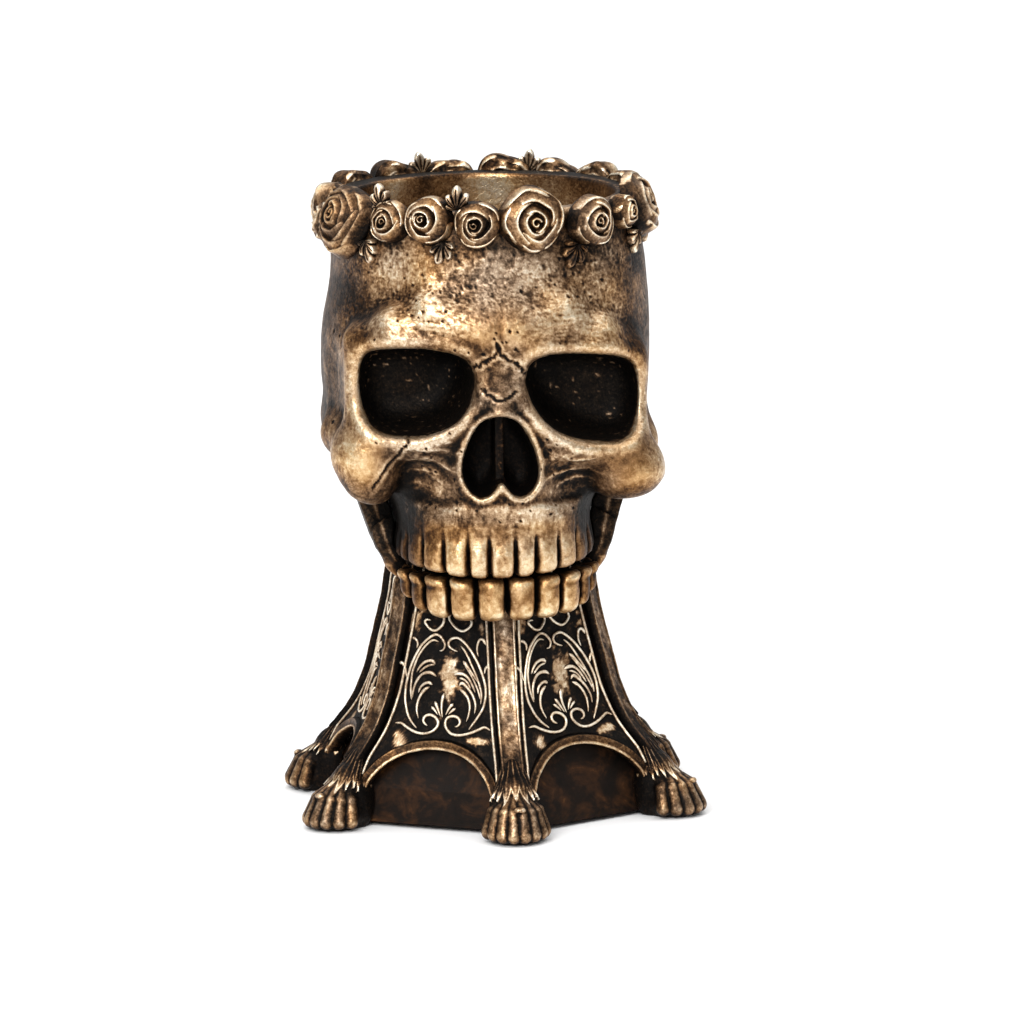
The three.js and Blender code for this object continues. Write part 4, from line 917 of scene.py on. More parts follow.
plate_V, plate_F, plate_s, plate_z = panel_plate()
scroll_V, scroll_F, scroll_t, scroll_w = scroll_shapes()
for i in range(6):
    mid = FRONT + (i * 60 + 30) * D
    P = turn_z(plate_V, mid)
    rubn = fbm(P + 40 * i, 4.2, 4, 161)
    # worn ivory patches: in the middle of the leaves, high up and low down at the sides
    centre = gauss(np.hypot((plate_s - 1.0) / 4.0, (plate_z - 46.5) / 7.2), 1)
    top = gauss(np.hypot((plate_s + 11.7) / 2.4, (plate_z - 62.5) / 4.4), 1) + 0.5 * gauss(np.hypot((plate_s - 11.0) / 2.2, (plate_z - 62) / 4.0), 1)
    low = gauss(np.hypot((plate_s + 12.8) / 2.4, (plate_z - 26.2) / 2.6), 1) + gauss(np.hypot((plate_s - 13.0) / 4.6, (plate_z - 27.8) / 1.2), 1)
    spots = np.clip(0.92 * centre + top + low, 0, 1)
    finer = fbm(P + 40 * i, 1.5, 3, 162)
    rub = step(0.60, 0.88, 0.58 * spots + 0.68 * finer + 0.26 * rubn)
    tone = 0.04 + 0.26 * step(0.44, 0.70, fbm(P, 2.2, 3, 171)) + 0.74 * rub
    body = (P, plate_F, np.clip(tone, 0, 0.95), 0.25 + 0.4 * (fbm(P, 6, 2, 172) - 0.5) + 0.22 * rub)
    Ps = turn_z(scroll_V, mid)
    wear = fbm(Ps + 9 * i, 3.5, 3, 173)
    tone_s = scroll_t * (0.98 + 0.5 * (wear - 0.45))
    V, F, tone, warm = merge([body, (Ps, scroll_F, tone_s, scroll_w + 0.5 * (wear - 0.5))])
    piece(f"panel_relief_{i + 1}", V, F, f"scroll_panel_{i + 1}", "dark", "aged_bronze", tone, np.clip(warm, 0, 1), 0.25)


# ----------------------------------------------------------------- corner ribs
def rib_shape():
    zz = np.concatenate([np.linspace(83.6, 21, 90 if FINE else 50), np.array([19.6, 18.4, 17.7])])
    rr = np.concatenate([rib_radius(zz[:-3]), [54.3, 53.0, 52.2]])
    t = np.array([-3.45, -3.45, -3.3, -3.0, -2.65, -2.4, -1.6, -0.8, 0, 0.8, 1.6, 2.4, 2.65, 3.0, 3.3, 3.45, 3.45])
    h = np.array([-1.8, -0.45, -0.06, 0.0, -0.12, -0.42, -0.36, -0.30, -0.28, -0.30, -0.36, -0.42, -0.12, 0.0, -0.06, -0.45, -1.8])
    b = np.array([0, 0.35, 0.8, 1.0, 0.55, 0.1, 0.45, 0.5, 0.5, 0.5, 0.45, 0.1, 0.55, 1.0, 0.8, 0.35, 0])
    inner = np.minimum(lerp_table(zz, CORE) + 0.5, rr - 2.4)
    rings = np.zeros((len(zz), len(t) + 2, 3))
    rings[:, :-2, 0] = rr[:, None] + h[None, :]
    rings[:, :-2, 1] = t[None, :]
    rings[:, -2, 0], rings[:, -2, 1] = inner, 3.45
    rings[:, -1, 0], rings[:, -1, 1] = inner, -3.45
    rings[:, :, 2] = zz[:, None]
    V, F = loft(rings)
    tone = np.tile(np.concatenate([b, [0, 0]]), len(zz))
    band = np.tile(np.concatenate([(np.abs(t) < 2.5).astype(float), [0, 0]]), len(zz))
    return V, F, tone, band


rib_V, rib_F, rib_t, rib_b = rib_shape()
for i in range(6):
    P = turn_z(rib_V, FRONT + i * 60 * D)
    n1 = fbm(P + 7 * i, 3.2, 4, 181)
    n2 = fbm(P + 7 * i, 1.3, 2, 182)
    N, _ = normals_of(P, rib_F)
    P2 = P + N * (0.30 * (n1 - 0.5) + 0.12 * (n2 - 0.5))[:, None] * (rib_t[:, None] > 0.05)
    streak = fbm(P * np.array([1, 1, 0.22]), 2.0, 3, 183)
    # painted light: the rib facing forward is painted lighter, the five turned from the light darker
    front_rib_painted_light = 0.86 if i == 0 else 0.20
    tone = np.where(rib_b > 0, 0.32 + 0.34 * front_rib_painted_light + 0.75 * (streak - 0.5) + 0.5 * (n2 - 0.5), rib_t * (0.62 + 0.30 * front_rib_painted_light) + 0.3 * (n1 - 0.5) * rib_t)
    tone *= 0.55 + 0.45 * step(24, 32, P[:, 2])
    piece(f"rib_casting_{i + 1}", P2, rib_F, f"corner_rib_{i + 1}", "bronze", "antique_bronze", np.clip(tone, 0, 0.95),
          np.clip(0.35 + 0.8 * (n1 - 0.5), 0, 1), 0.2)


# ---------------------------------------------------------------- arch bands
def arch_shape():
    n = 72
    a = np.linspace(math.pi * 0.985, math.pi * 0.015, n)
    g = ARCH_BAND / 2
    s = (ARCH_HALF + g) * np.cos(a)
    z = ARCH_SPRING + (ARCH_TOP - ARCH_SPRING + g) * np.sin(a)
    ds, dz = np.gradient(s), np.gradient(z)
    L = np.hypot(ds, dz)
    ns, nz = -dz / L, ds / L  # away from the arch's opening
    flip = np.sign(ns * s + nz * (z - ARCH_SPRING))
    ns, nz = ns * flip, nz * flip
    across = np.array([-1.5, -1.5, -1.28, -0.95, -0.62, -0.35, 0.3, 0.9, 1.2, 1.45, 1.5, 1.5])
    out = np.array([-3.2, 0.35, 0.85, 1.0, 0.82, 0.45, 0.40, 0.36, 0.42, 0.28, 0.0, -3.2])
    bright = np.array([0, 0.4, 0.85, 1.0, 0.8, 0.42, 0.46, 0.5, 0.6, 0.45, 0.15, 0])
    rings = np.zeros((n, len(across), 3))
    for k in range(len(across)):
        sk, zk = s + ns * across[k], z + nz * across[k]
        a_k = np.minimum(face_apothem(np.maximum(z, 13.0)), 49.6)
        rings[:, k, 0] = a_k + out[k]
        rings[:, k, 1] = sk
        rings[:, k, 2] = np.maximum(zk, 7.5)
    V, F = loft(rings)
    return V, F, np.tile(bright, n)


arch_V, arch_F, arch_t = arch_shape()
for i in range(6):
    P = turn_z(arch_V, FRONT + (i * 60 + 30) * D)
    N, _ = normals_of(P, arch_F)
    n1 = fbm(P + 5 * i, 2.6, 3, 191)
    P2 = P + N * (0.22 * (n1 - 0.5))[:, None]
    piece(f"arch_band_{i + 1}", P2, arch_F, f"arch_moulding_{i + 1}", "bronze", "antique_bronze",
          np.clip(arch_t * 0.78 + 0.45 * (n1 - 0.5) * arch_t, 0, 0.9), np.clip(0.62 + 0.5 * (n1 - 0.5), 0, 1), 0.25)


# ----------------------------------------------------------------- claw feet
TOE, BLADE = 21.4 * D, 25.0 * D


def toe_middle(r, t):
    """1 along the middle of a toe and 0 between two."""
    ph = np.arctan2(np.abs(t) / 8.7, (r - 58.4) / 10.9) / TOE
    return np.abs(ph - np.round(ph)) * 2


def blade_shape(r, t, z):
    """The tuft over the paw: 0 on a blade's middle, 1 between blades, and its hem."""
    zc = np.clip(z, 8, 24.5)
    cen = 61.0 - 0.60 * (zc - 8)
    psi = np.arctan2(t, (r - cen) / 0.62)
    u = np.abs(psi / BLADE - np.round(psi / BLADE)) * 2
    odd = np.cos(np.round(psi / BLADE) * 2.4)
    return cen, u, 12.4 + 0.7 * odd + 3.6 * u**1.3, psi


def foot_field(r, t, z):
    ta = np.abs(t)
    d = ell(r, t, z, (61.0, 0, 4.6), (8.4, 8.4, 7.4))
    d = smin(d, ell(r, t, z, (61.6, 0, 3.6), (8.4, 8.6, 4.6)), 1.0)
    toes = None
    for k in range(4):
        ph = (k + 0.5) * TOE
        c, q = math.cos(ph), math.sin(ph)
        joints = [(57.6 + 4.4 * c, 3.6 * q, 12.4), (57.8 + 8.6 * c, 7.0 * q, 9.2), (58.4 + 11.0 * c, 8.8 * q, 3.2)]
        for (a, b), (ra, rb) in zip(zip(joints[:-1], joints[1:]), [(1.6, 2.05), (2.05, 2.3)]):
            e = bar(r, ta, z, a, b, ra, rb)
            toes = e if toes is None else smin(toes, e, 0.3)
    d = smin(d, toes, 0.35)
    # the heel, against the core
    d = smin(d, ell(r, t, z, (55.0, 0, 8.0), (7.6, 7.6, 12.0)), 1.5)
    # the ankle and its tuft of pointed blades
    cen, u, hem, _ = blade_shape(r, t, z)
    zc = np.clip(z, 8, 24.5)
    rt = 8.6 - (zc - 8) * (5.2 / 15)
    skirt = rt - 1.0 + (0.85 * (1 - u**1.6) + 0.30 * np.exp(-(u / 0.22) ** 2)) * (1 - 0.6 * step(18, 24, z)) + 0.9 * gauss(z - hem, 2.2)
    cone = (np.sqrt(((r - cen) / 0.62) ** 2 + t**2) - skirt) * 0.62
    cone = smax(cone, (hem - z) * 0.8, 0.6)
    cone = smax(cone, z - 24.2, 1.5)
    ankle = (np.sqrt(((r - cen) / 0.62) ** 2 + t**2) - (rt - 2.2)) * 0.62
    ankle = smax(ankle, np.abs(z - 16.5) - 7.0, 1.5)
    d = smin(smin(d, ankle, 1.0), cone, 0.4)
    # the small pearl in the middle
    d = smin(d, ell(r, t, z, (67.2, 0.6, 10.9), (1.4, 1.9, 1.0)), 0.3)
    # stays outside the rib and the core
    apothem = lerp_table(np.clip(z, 1.5, 30), CORE) * math.cos(30 * D)
    d = smax(d, apothem + 0.25 - (r * math.cos(30 * D) + np.abs(t) * 0.5), 0.6)
    return smax(d, 0.0 - z, 0.8)


HF = 0.32 if FINE else 0.55
lo, hi = (49.0, -12.0, -0.6), (73.0, 12.0, 26.6)
foot_V, foot_F = polygonise(foot_field, lo, hi, HF, margin=1.6)
foot_V = np.column_stack([foot_V[:, 0], -foot_V[:, 1], foot_V[:, 2]])
foot_F = foot_F[:, ::-1]
foot_V[:, 2] = np.maximum(foot_V[:, 2], 0.0)
foot_V[:, 0] = np.minimum(foot_V[:, 0], 71.8)
smf = Smoother(len(foot_V), foot_F)
N, _ = normals_of(foot_V, foot_F)
foot_V = foot_V + N * (0.16 * (fbm(foot_V, 1.6, 3, 201) - 0.5))[:, None]
foot_V[:, 2] = np.maximum(foot_V[:, 2], 0.0)
foot_V[:, 0] = np.minimum(foot_V[:, 0], 71.8)
N, _ = normals_of(foot_V, foot_F)
c1 = np.einsum("ij,ij->i", smf.smooth(foot_V, 4) - foot_V, N)
c2 = np.einsum("ij,ij->i", smf.smooth(foot_V, 24) - foot_V, N)
fr, ft, fz = foot_V[:, 0], foot_V[:, 1], foot_V[:, 2]
toe_mid = toe_middle(fr, ft)
cen, u, hem, psi = blade_shape(fr, ft, fz)
on_tuft = step(-0.5, 0.4, fz - hem) * step(-2.0, -0.6, (np.sqrt(((fr - cen) / 0.62) ** 2 + ft**2) - (8.6 - (np.clip(fz, 8, 24.5) - 8) * 0.347)))
foot_tone = 0.30 + np.clip(-c1 * 2.6, -0.36, 0.26) + np.clip(-c2 * 0.7, -0.32, 0.26) + 0.34 * (fbm(foot_V * np.array([0.5, 1, 0.35]), 1.6, 3, 211) - 0.5)
foot_tone += (1 - on_tuft) * (0.26 * toe_mid * step(60, 63, fr) * gauss(fz - 7.5, 6.0) - 0.12)
foot_tone += on_tuft * (0.60 * gauss(fz - hem - 0.3, 0.9) + 0.32 * np.exp(-(u / 0.28) ** 2) - 0.06)
foot_tone -= 0.30 * (1 - step(57.0, 61.5, fr)) + 0.30 * (1 - step(0.6, 3.0, fz))
for i in range(6):
    P = turn_z(foot_V, FRONT + i * 60 * D)
    n1 = fbm(P, 6, 2, 221)
    piece(f"foot_casting_{i + 1}", P, foot_F, f"claw_foot_{i + 1}", "bronze", "bright_bronze",
          np.clip(foot_tone + 0.2 * (n1 - 0.5), 0.02, 0.98), np.clip(0.42 + 0.9 * (n1 - 0.5), 0, 1), 0.22)


# --------------------------------------------------------------------- crown
ROSES = [
    (-66.5, 188.2, 11.8, 22), (-42.4, 189.8, 6.9, 8), (-27.0, 190.6, 7.9, 8), (-8.8, 189.4, 7.7, 4), (12.2, 190.4, 10.6, 6),
    (36.0, 188.4, 8.3, 6), (55.0, 189.4, 5.6, 4), (71.0, 190.2, 10.4, 22), (93.5, 188.4, 7.0, 10), (111.5, 188.8, 8.4, 8),
    (131, 187.8, 9.6, 6), (149, 187.6, 9.4, 6), (167, 188.8, 9.8, 8), (-174.5, 188.0, 9.2, 6), (-155, 188.4, 9.6, 8),
    (-136, 187.8, 9.4, 6), (-117, 187.0, 8.6, 8), (-95.5, 185.0, 6.6, 14),
]
LEAVES = [
    (-46.5, 197.6, 8.2, 8.4, 20), (-16, 197.6, 8.4, 9.4, -4), (-22, 181.2, 8.4, 9.2, 168), (-52, 180.2, 8.2, 8.6, 192),
    (27, 178.8, 8.8, 10.4, 158), (60, 180.0, 8.2, 8.6, 172), (79.5, 181.0, 8.4, 9, 188), (121, 181.0, 8.4, 9, 176),
    (158, 180.8, 8.6, 9, 186), (-166, 181.2, 8.4, 9, 174), (-128, 181.0, 8.4, 9, 184), (-84, 180.4, 8.4, 9, 170),
    (158, 195.2, 8.2, 9.4, 6), (-165, 195.2, 8.2, 9.4, -8),
]


def on_skull(angle, z):
    dx, df = math.sin(angle * D), math.cos(angle * D)
    r = np.linspace(30, 75, 900)
    d = skull_outer(dx * r, df * r, np.full(len(r), float(z)))
    k = np.flatnonzero(d < 0)
    return float(r[k[-1]])


def place_at(V, angle, z, tilt, out):
    """Local Z turns outwards, local Y stays up."""
    r = on_skull(angle, min(z, 190.0)) + out
    a = FRONT + angle * D
    c, s = math.cos(-tilt * D), math.sin(-tilt * D)
    x, y, w = V[:, 0], V[:, 1] * c - V[:, 2] * s, V[:, 1] * s + V[:, 2] * c
    lx, ly, lz = w, x, y  # outward, sideways, up
    return np.column_stack([r * math.cos(a) + lx * math.cos(a) - ly * math.sin(a),
                            r * math.sin(a) + lx * math.sin(a) + ly * math.cos(a), z + lz])


def rose_shape(R, H, seed, rear=False):
    """A cast rose: overlapping cupped petals, each a crest that rolls outwards
    and drops steeply on its inner side, wound in towards a coiled bud."""
    r = np.random.default_rng(seed)
    nt, nr = (132, 58) if FINE else (72, 32)
    th = np.linspace(0, 2 * math.pi, nt, endpoint=False)[:, None] * np.ones((1, nr))
    rho = (np.linspace(0, 1, nr) ** 0.92)[None, :] * np.ones((nt, 1))
    n_out = 4 if R > 9 else 3
    turn = r.uniform(0, 2 * math.pi)
    tri = r.uniform(0, 2 * math.pi)
    rings = [  # petals, lip radius, lip height, span factor, spiral, roll width, phase
        (n_out, 0.86, 0.58, 1.50, 0.15, 0.26, 0.0),
        (3, 0.57, 0.90, 1.42, 0.24, 0.27, 1.0),
        (2, 0.30, 1.00, 1.45, 0.28, 0.18, 0.4),
    ]
    deep = 0.13 if rear else 0.07
    if R > 11:
        # the largest one has a fourth row of petals
        rings = [(5, 0.87, 0.50, 1.42, 0.13, 0.20, 0.0), (4, 0.68, 0.74, 1.40, 0.16, 0.19, 0.7),
                 (3, 0.47, 0.92, 1.42, 0.20, 0.19, 1.3), (2, 0.27, 1.00, 1.45, 0.26, 0.16, 0.4)]
    edge = 1.0 - deep * (0.5 - 0.5 * np.cos(n_out * (th - turn))) + 0.015 * np.sin(3 * th + tri)
    h = -0.1 + 0.26 * np.sqrt(np.clip(1 - rho**2, 0, 1))
    tone = np.full(h.shape, 0.25)
    shift, lean = r.uniform(0.0, 0.07), r.uniform(0, 2 * math.pi)
    px, py = rho * np.cos(th), rho * np.sin(th)
    for k, (n, lip0, top, span, spiral, roll, ph) in enumerate(rings):
        cx, cy = k * shift * math.cos(lean), k * shift * math.sin(lean)
        rk, tk_ = np.hypot(px - cx, py - cy), np.arctan2(py - cy, px - cx)
        for j in range(n):
            mid = turn + ph + j * 2 * math.pi / n + r.uniform(-0.2, 0.2)
            half = math.pi / n * span * r.uniform(0.92, 1.08)
            u = ((tk_ - mid + math.pi) % (2 * math.pi) - math.pi) / half
            on = np.clip(1 - np.abs(u) ** 6, 0, 1)
            point = r.uniform(0.03, 0.08) * gauss(u - r.uniform(-0.4, 0.4), 0.20)
            lip = lip0 * (1 + spiral * u * 0.6 + 0.10 * (u * u - 0.3) + point) + r.uniform(-0.015, 0.015)
            crest = top + r.uniform(-0.06, 0.06) - 0.22 * u**4 + 1.0 * point
            d = rk - lip
            # outside the lip the petal rolls over and falls; inside it drops to a deep fold
            out_fall = 0.10 * np.clip(d / 0.06, 0, 1) ** 2 + 1.9 * np.clip(d - 0.03, 0, None) ** 1.25 / (roll / 0.2)
            hk = np.where(d > 0, crest - out_fall, crest - 0.05 * np.clip(-d / 0.03, 0, 1) ** 2 - 5.2 * np.clip(-d - 0.02, 0, None))
            hk = np.where(on > 0, hk - 0.30 * (1 - on), -9)
            win = hk > h
            h = np.where(win, hk, h)
            face = 0.60 - 0.26 * np.clip((d - 0.04) / roll, 0, 1) + 0.40 * gauss(d - 0.012, 0.055)
            inner = 0.66 * gauss(d, 0.035) + 0.30 * gauss(d, 0.10)
            tone = np.where(win, np.where(d > 0, face, np.maximum(inner, 0.12)) * (0.72 + 0.28 * on), tone)
    # the coiled bud in the middle
    cx, cy = 2.6 * shift * math.cos(lean), 2.6 * shift * math.sin(lean)
    rk, tk_ = np.hypot(px - cx, py - cy), np.arctan2(py - cy, px - cx)
    coil = 0.16 - 0.017 * ((tk_ - turn) % (2 * math.pi))
    d = rk - coil
    hk = np.where(d > 0, 1.0 - 2.6 * d, 1.0 - 3.2 * np.abs(d))
    win = hk > h
    h = np.where(win, hk, h)
    tone = np.where(win, 0.30 + 0.62 * gauss(d, 0.035), tone)
    h = np.maximum(h, -0.12)
    # soften the crests and the feet of the steep sides a little
    for _ in range(2 if FINE else 1):
        h = 0.5 * h + 0.125 * (np.roll(h, 1, 0) + np.roll(h, -1, 0)) + 0.125 * (np.concatenate([h[:, :1], h[:, :-1]], 1) + np.concatenate([h[:, 1:], h[:, -1:]], 1))
    h[:, 0] = h[:, 0].mean()
    body = rho * edge
    fall = step(0.90, 1.0, rho)
    z = (h * H) * (1 - fall) + (-0.16 * H) * fall
    top = np.stack([body * np.cos(th) * R, body * np.sin(th) * R, z], -1)
    # the back: open petals on the upper half, a little askew to those in front,
    # and a thick base on the lower half, where the rose is bonded to the skull
    hb, tb = np.roll(h, nt // 5, 0)[:, -2::-1], np.roll(tone, nt // 5, 0)[:, -2::-1]
    rb = rho[:, -2::-1]
    fb, gb = step(0.88, 1.0, rb), step(0.95, 1.0, rb)
    zb = -(1.3 + 2.6 * np.clip(hb, 0, 1)) * (1 - fb) - 0.24 * H * fb
    base = -(2.5 + 1.5 * (1 - rb)) * (1 - gb) - 0.30 * H * gb
    upper = step(-0.05, 0.35, rb * np.sin(th[:, 1:]))
    zb = zb * upper + base * (1 - upper)
    back = np.stack([rb * edge[:, 1:] * np.cos(th[:, 1:]) * R, rb * edge[:, 1:] * np.sin(th[:, 1:]) * R, zb], -1)
    pole, back_tone, back_h = zb[:, -1].mean(), (tb * (1 - 0.35 * fb))[:, :-1], hb
    tone = tone * (1 - 0.18 * step(0.88, 1.0, rho))
    # one vertex each at the two poles
    rows = np.concatenate([top[:, 1:], back[:, :-1]], 1)
    m = rows.shape[1]
    V = np.vstack([rows.reshape(-1, 3), [[0, 0, z[0, 0]], [0, 0, pole]]])
    quads = grid_faces(nt, m, True, False)[:, ::-1]
    a = np.arange(nt)
    nxt = (a + 1) % nt
    t1 = np.column_stack([np.full(nt, nt * m), a * m, nxt * m])
    t2 = np.column_stack([np.full(nt, nt * m + 1), nxt * m + m - 1, a * m + m - 1])
    tb = np.concatenate([tone[:, 1:], back_tone], 1)
    hv = np.concatenate([np.ones((nt, nr - 1)) * 2, np.clip(back_h[:, :-1], 0, 1)], 1)
    return V, [quads, np.concatenate([t1, t2])], np.concatenate([tb.ravel(), [tone[:, 0].mean(), 0.4]]), np.concatenate([hv.ravel(), [2.0, 0.5]])


for i, (angle, z, radius, tilt) in enumerate(ROSES):
    R = radius * 1.05 * 0.97
    Hh = radius * 0.36 + 2.4
    V, F, tone, hv = rose_shape(R, Hh, 500 + i, abs(angle) > 80)
    V = place_at(V, angle, z, tilt, 1.0)
    # nothing hangs over the mouth of the vase
    mouth_r = np.hypot(V[:, 0], V[:, 1] - 2)
    # on the mouth's side the petals open over the rim
    flat = np.where(hv < 1.5, 47.3 - 1.6 * hv, 45.7)
    rear = float(abs(angle) > 80)
    k = np.where(mouth_r < flat, flat / np.maximum(mouth_r, 1), 1.0)
    V[:, 0] *= k
    V[:, 1] = 2 + (V[:, 1] - 2) * k
    V[:, 2] = np.minimum(V[:, 2], 201.9)
    n1 = fbm(V, 5, 3, 231)
    n2 = fbm(V, 1.6, 2, 232)
    N, _ = normals_of(V, F)
    # at the back the petals' edges show as uneven lobes above the rim
    n3 = fbm(V, 2.4, 2, 235)
    V = V + N * (0.10 * (n2 - 0.5) + rear * 0.7 * (n3 - 0.5) * (hv < 1.5))[:, None]
    V[:, 2] = np.minimum(V[:, 2], 201.9)
    tone = tone * ((0.66 if i == 0 else 0.93) + 0.5 * (n1 - 0.5)) + 0.16 * (n2 - 0.5) + rear * (0.10 + 0.8 * (n3 - 0.5)) * (hv < 1.5)
    piece(f"rose_bloom_{i + 1:02d}", V, F, f"rose_{i + 1:02d}", "bronze", "antique_bronze", np.clip(tone, 0.02, 0.97),
          np.clip(0.52 + 0.9 * (n1 - 0.5) - 0.35 * step(0.8, 1.0, tone), 0, 1), 0.30)


def leaf_shape(L, W, seed):
    """A fan of rounded lobes spreading from the leaf's foot, each with a vein."""
    r = np.random.default_rng(seed)
    nu, nv, lobes, spread = (121, 26, 5, 98 * D) if FINE else (61, 14, 5, 98 * D)
    a = np.linspace(-1, 1, nu)[:, None] * np.ones((1, nv))
    v = np.linspace(0.05, 1, nv)[None, :] * np.ones((nu, 1))
    lean = 0.06 * r.uniform(-1, 1)
    q = (a + lean * (1 - a * a) + 1) / 2 * lobes
    u = 2 * (q - np.floor(np.clip(q, 0, lobes - 1e-6))) - 1
    ang = a * spread
    foot = -0.44 * L
    env = 1 / np.sqrt((np.sin(ang) / (0.56 * W)) ** 2 + (np.cos(ang) / (0.93 * L)) ** 2)
    env = env * (1 - 0.35 * step(0.72, 1.0, np.abs(a))) * (0.86 + 0.14 * np.cos(1.8 * ang))
    lobe = 0.72 + 0.28 * (1 - np.abs(u) ** 1.5)
    rad = env * lobe * v
    x = rad * np.sin(ang)
    y = np.clip(foot + rad * np.cos(ang), -0.5 * L, 0.5 * L)
    x = np.clip(x, -0.5 * W, 0.5 * W)
    groove = np.exp(-((1 - np.abs(u)) / 0.20) ** 2) * (np.abs(a) < 0.985)
    vein = gauss(u, 0.13) * step(0.25, 0.4, v) * (1 - step(0.78, 0.9, v))
    h = 0.35 + 0.95 * np.sin(math.pi * np.clip(0.10 + 0.78 * v, 0, 1)) + 0.75 * np.clip(1 - u * u, 0, 1) * step(0.05, 0.5, v)
    h = h - 0.35 * groove - 0.35 * vein - 0.9 * step(0.93, 1.0, v)
    n = nu * nv
    top = np.column_stack([x.ravel(), y.ravel(), h.ravel()])
    bot = np.column_stack([x.ravel(), y.ravel(), (-0.75 - 0.35 * np.clip(1 - u * u, 0, 1) * v * (1 - step(0.93, 1.0, v))).ravel()])
    V = np.vstack([top, bot])
    Fq = grid_faces(nu, nv)
    edge = np.concatenate([np.arange(nu) * nv, (nu - 1) * nv + np.arange(1, nv), np.arange(nu - 2, -1, -1) * nv + nv - 1, np.arange(nv - 2, 0, -1)])
    nxt = np.roll(edge, -1)
    walls = np.column_stack([edge, nxt, nxt + n, edge + n])
    allq = np.concatenate([Fq, Fq[:, ::-1] + n, walls[:, ::-1]])
    if volume(V, allq) < 0:
        allq = allq[:, ::-1]
    t = 0.34 + 0.42 * np.clip(1 - u * u, 0, 1) * v - 0.55 * groove - 0.55 * vein + 0.35 * gauss(v - 0.92, 0.07) + 0.30 * gauss(np.abs(u) - 0.55, 0.16)
    tone = np.concatenate([np.clip(t, 0.02, 1.0).ravel(), np.clip(t - 0.06, 0.05, 0.9).ravel()])
    return V, [allq, np.zeros((0, 3), int)], tone


for i, (angle, z, length, width, turn) in enumerate(LEAVES):
    V, F, tone = leaf_shape(length * 0.98, width * 0.98, 700 + i)
    c, s = math.cos(turn * D), math.sin(turn * D)
    V = np.column_stack([V[:, 0] * c - V[:, 1] * s, V[:, 0] * s + V[:, 1] * c, V[:, 2]])
    high = z > 193
    V = place_at(V, angle, z, 4 if high else -4, 1.4 if high else 0.7)
    n1 = fbm(V, 3, 3, 241)
    dull = 0.62 if i in (4,) else 1.0
    piece(f"leaf_blade_{i + 1:02d}", V, F, f"leaf_{i + 1:02d}", "bronze", "bright_bronze",
          np.clip(tone * dull * (0.90 + 0.9 * (n1 - 0.5)) + (0.16 if i > 11 else 0), 0.02, 1.0), np.clip((0.20 if dull == 1 else 0.6) + 0.9 * (n1 - 0.5), 0, 1), 0.12 if i > 11 else 0.35)


# ------------------------------------------- painted shade and highlight, with the dark wash and rub, from how closed in a place is
def crevices():
    lo = np.array([-76.0, -82.0, -10.0])
    n = np.array([152, 164, 222])
    occ = np.zeros(n, np.float32)
    for p in PIECES:
        N, A = normals_of(p["V"], p["F"])
        p["N"], p["A"] = N, A
        q = p["V"] - lo
        i = np.floor(q).astype(int)
        i = np.clip(i, 0, n - 2)
        f = np.clip(q - i, 0, 1)
        for a in (0, 1):
            for b in (0, 1):
                for c in (0, 1):
                    w = (f[:, 0] if a else 1 - f[:, 0]) * (f[:, 1] if b else 1 - f[:, 1]) * (f[:, 2] if c else 1 - f[:, 2])
                    flat = ((i[:, 0] + a) * n[1] + i[:, 1] + b) * n[2] + i[:, 2] + c
                    occ.ravel()[:] += np.bincount(flat, w * A, occ.size).astype(np.float32)
    spec = np.fft.rfftn(occ)
    k = [np.fft.fftfreq(n[0])[:, None, None], np.fft.fftfreq(n[1])[None, :, None], np.fft.rfftfreq(n[2])[None, None, :]]
    k2 = k[0] ** 2 + k[1] ** 2 + k[2] ** 2
    for label, sigma in (("near", 1.5), ("far", 5.0)):
        dens = np.fft.irfftn(spec * np.exp(-2 * math.pi**2 * sigma**2 * k2), s=tuple(n), axes=(0, 1, 2)).astype(np.float32)
        flat_level = math.exp(-0.5) / (sigma * math.sqrt(2 * math.pi))
        for p in PIECES:
            q = p["V"] + p["N"] * sigma - lo
            i = np.clip(np.floor(q).astype(int), 0, n - 2)
            f = np.clip(q - i, 0, 1)
            val = 0
            for a in (0, 1):
                for b in (0, 1):
                    for c in (0, 1):
                        w = (f[:, 0] if a else 1 - f[:, 0]) * (f[:, 1] if b else 1 - f[:, 1]) * (f[:, 2] if c else 1 - f[:, 2])
                        val = val + w * dens[i[:, 0] + a, i[:, 1] + b, i[:, 2] + c]
            p[label] = val / flat_level


crevices()


# ----------------------------------------------------------------- materials
def new_material(name):
    m = bpy.data.materials.new(name)
    m.use_nodes = True
    t = m.node_tree
    for n in list(t.nodes):
        t.nodes.remove(n)
    out = t.nodes.new("ShaderNodeOutputMaterial")
    b = t.nodes.new("ShaderNodeBsdfPrincipled")
    t.links.new(b.outputs["BSDF"], out.inputs["Surface"])
    return m, t, b


def math_node(t, op, a, b=None, clamp=False):
    n = t.nodes.new("ShaderNodeMath")
    n.operation = op
    n.use_clamp = clamp
    for i, v in enumerate((a, b)):
        if v is None:
            continue
        if isinstance(v, (int, float)):
            n.inputs[i].default_value = v
        else:
            t.links.new(v, n.inputs[i])
    return n.outputs[0]


def noise_node(t, co, scale, detail=3.0, rough=0.55, distortion=0.0):
    n = t.nodes.new("ShaderNodeTexNoise")
    n.inputs["Scale"].default_value = scale
    n.inputs["Detail"].default_value = detail
    n.inputs["Roughness"].default_value = rough
    n.inputs["Distortion"].default_value = distortion
    t.links.new(co, n.inputs["Vector"])
    return n.outputs["Fac"]


def ramp(t, fac, stops):
    n = t.nodes.new("ShaderNodeValToRGB")
    cr = n.color_ramp
    while len(cr.elements) > 1:
        cr.elements.remove(cr.elements[-1])
    for i, (pos, col) in enumerate(stops):
        e = cr.elements[0] if i == 0 else cr.elements.new(pos)
        e.position = pos
        e.color = tuple(srgb(c) for c in col) + (1.0,)
    t.links.new(fac, n.inputs["Fac"])
    return n.outputs["Color"]


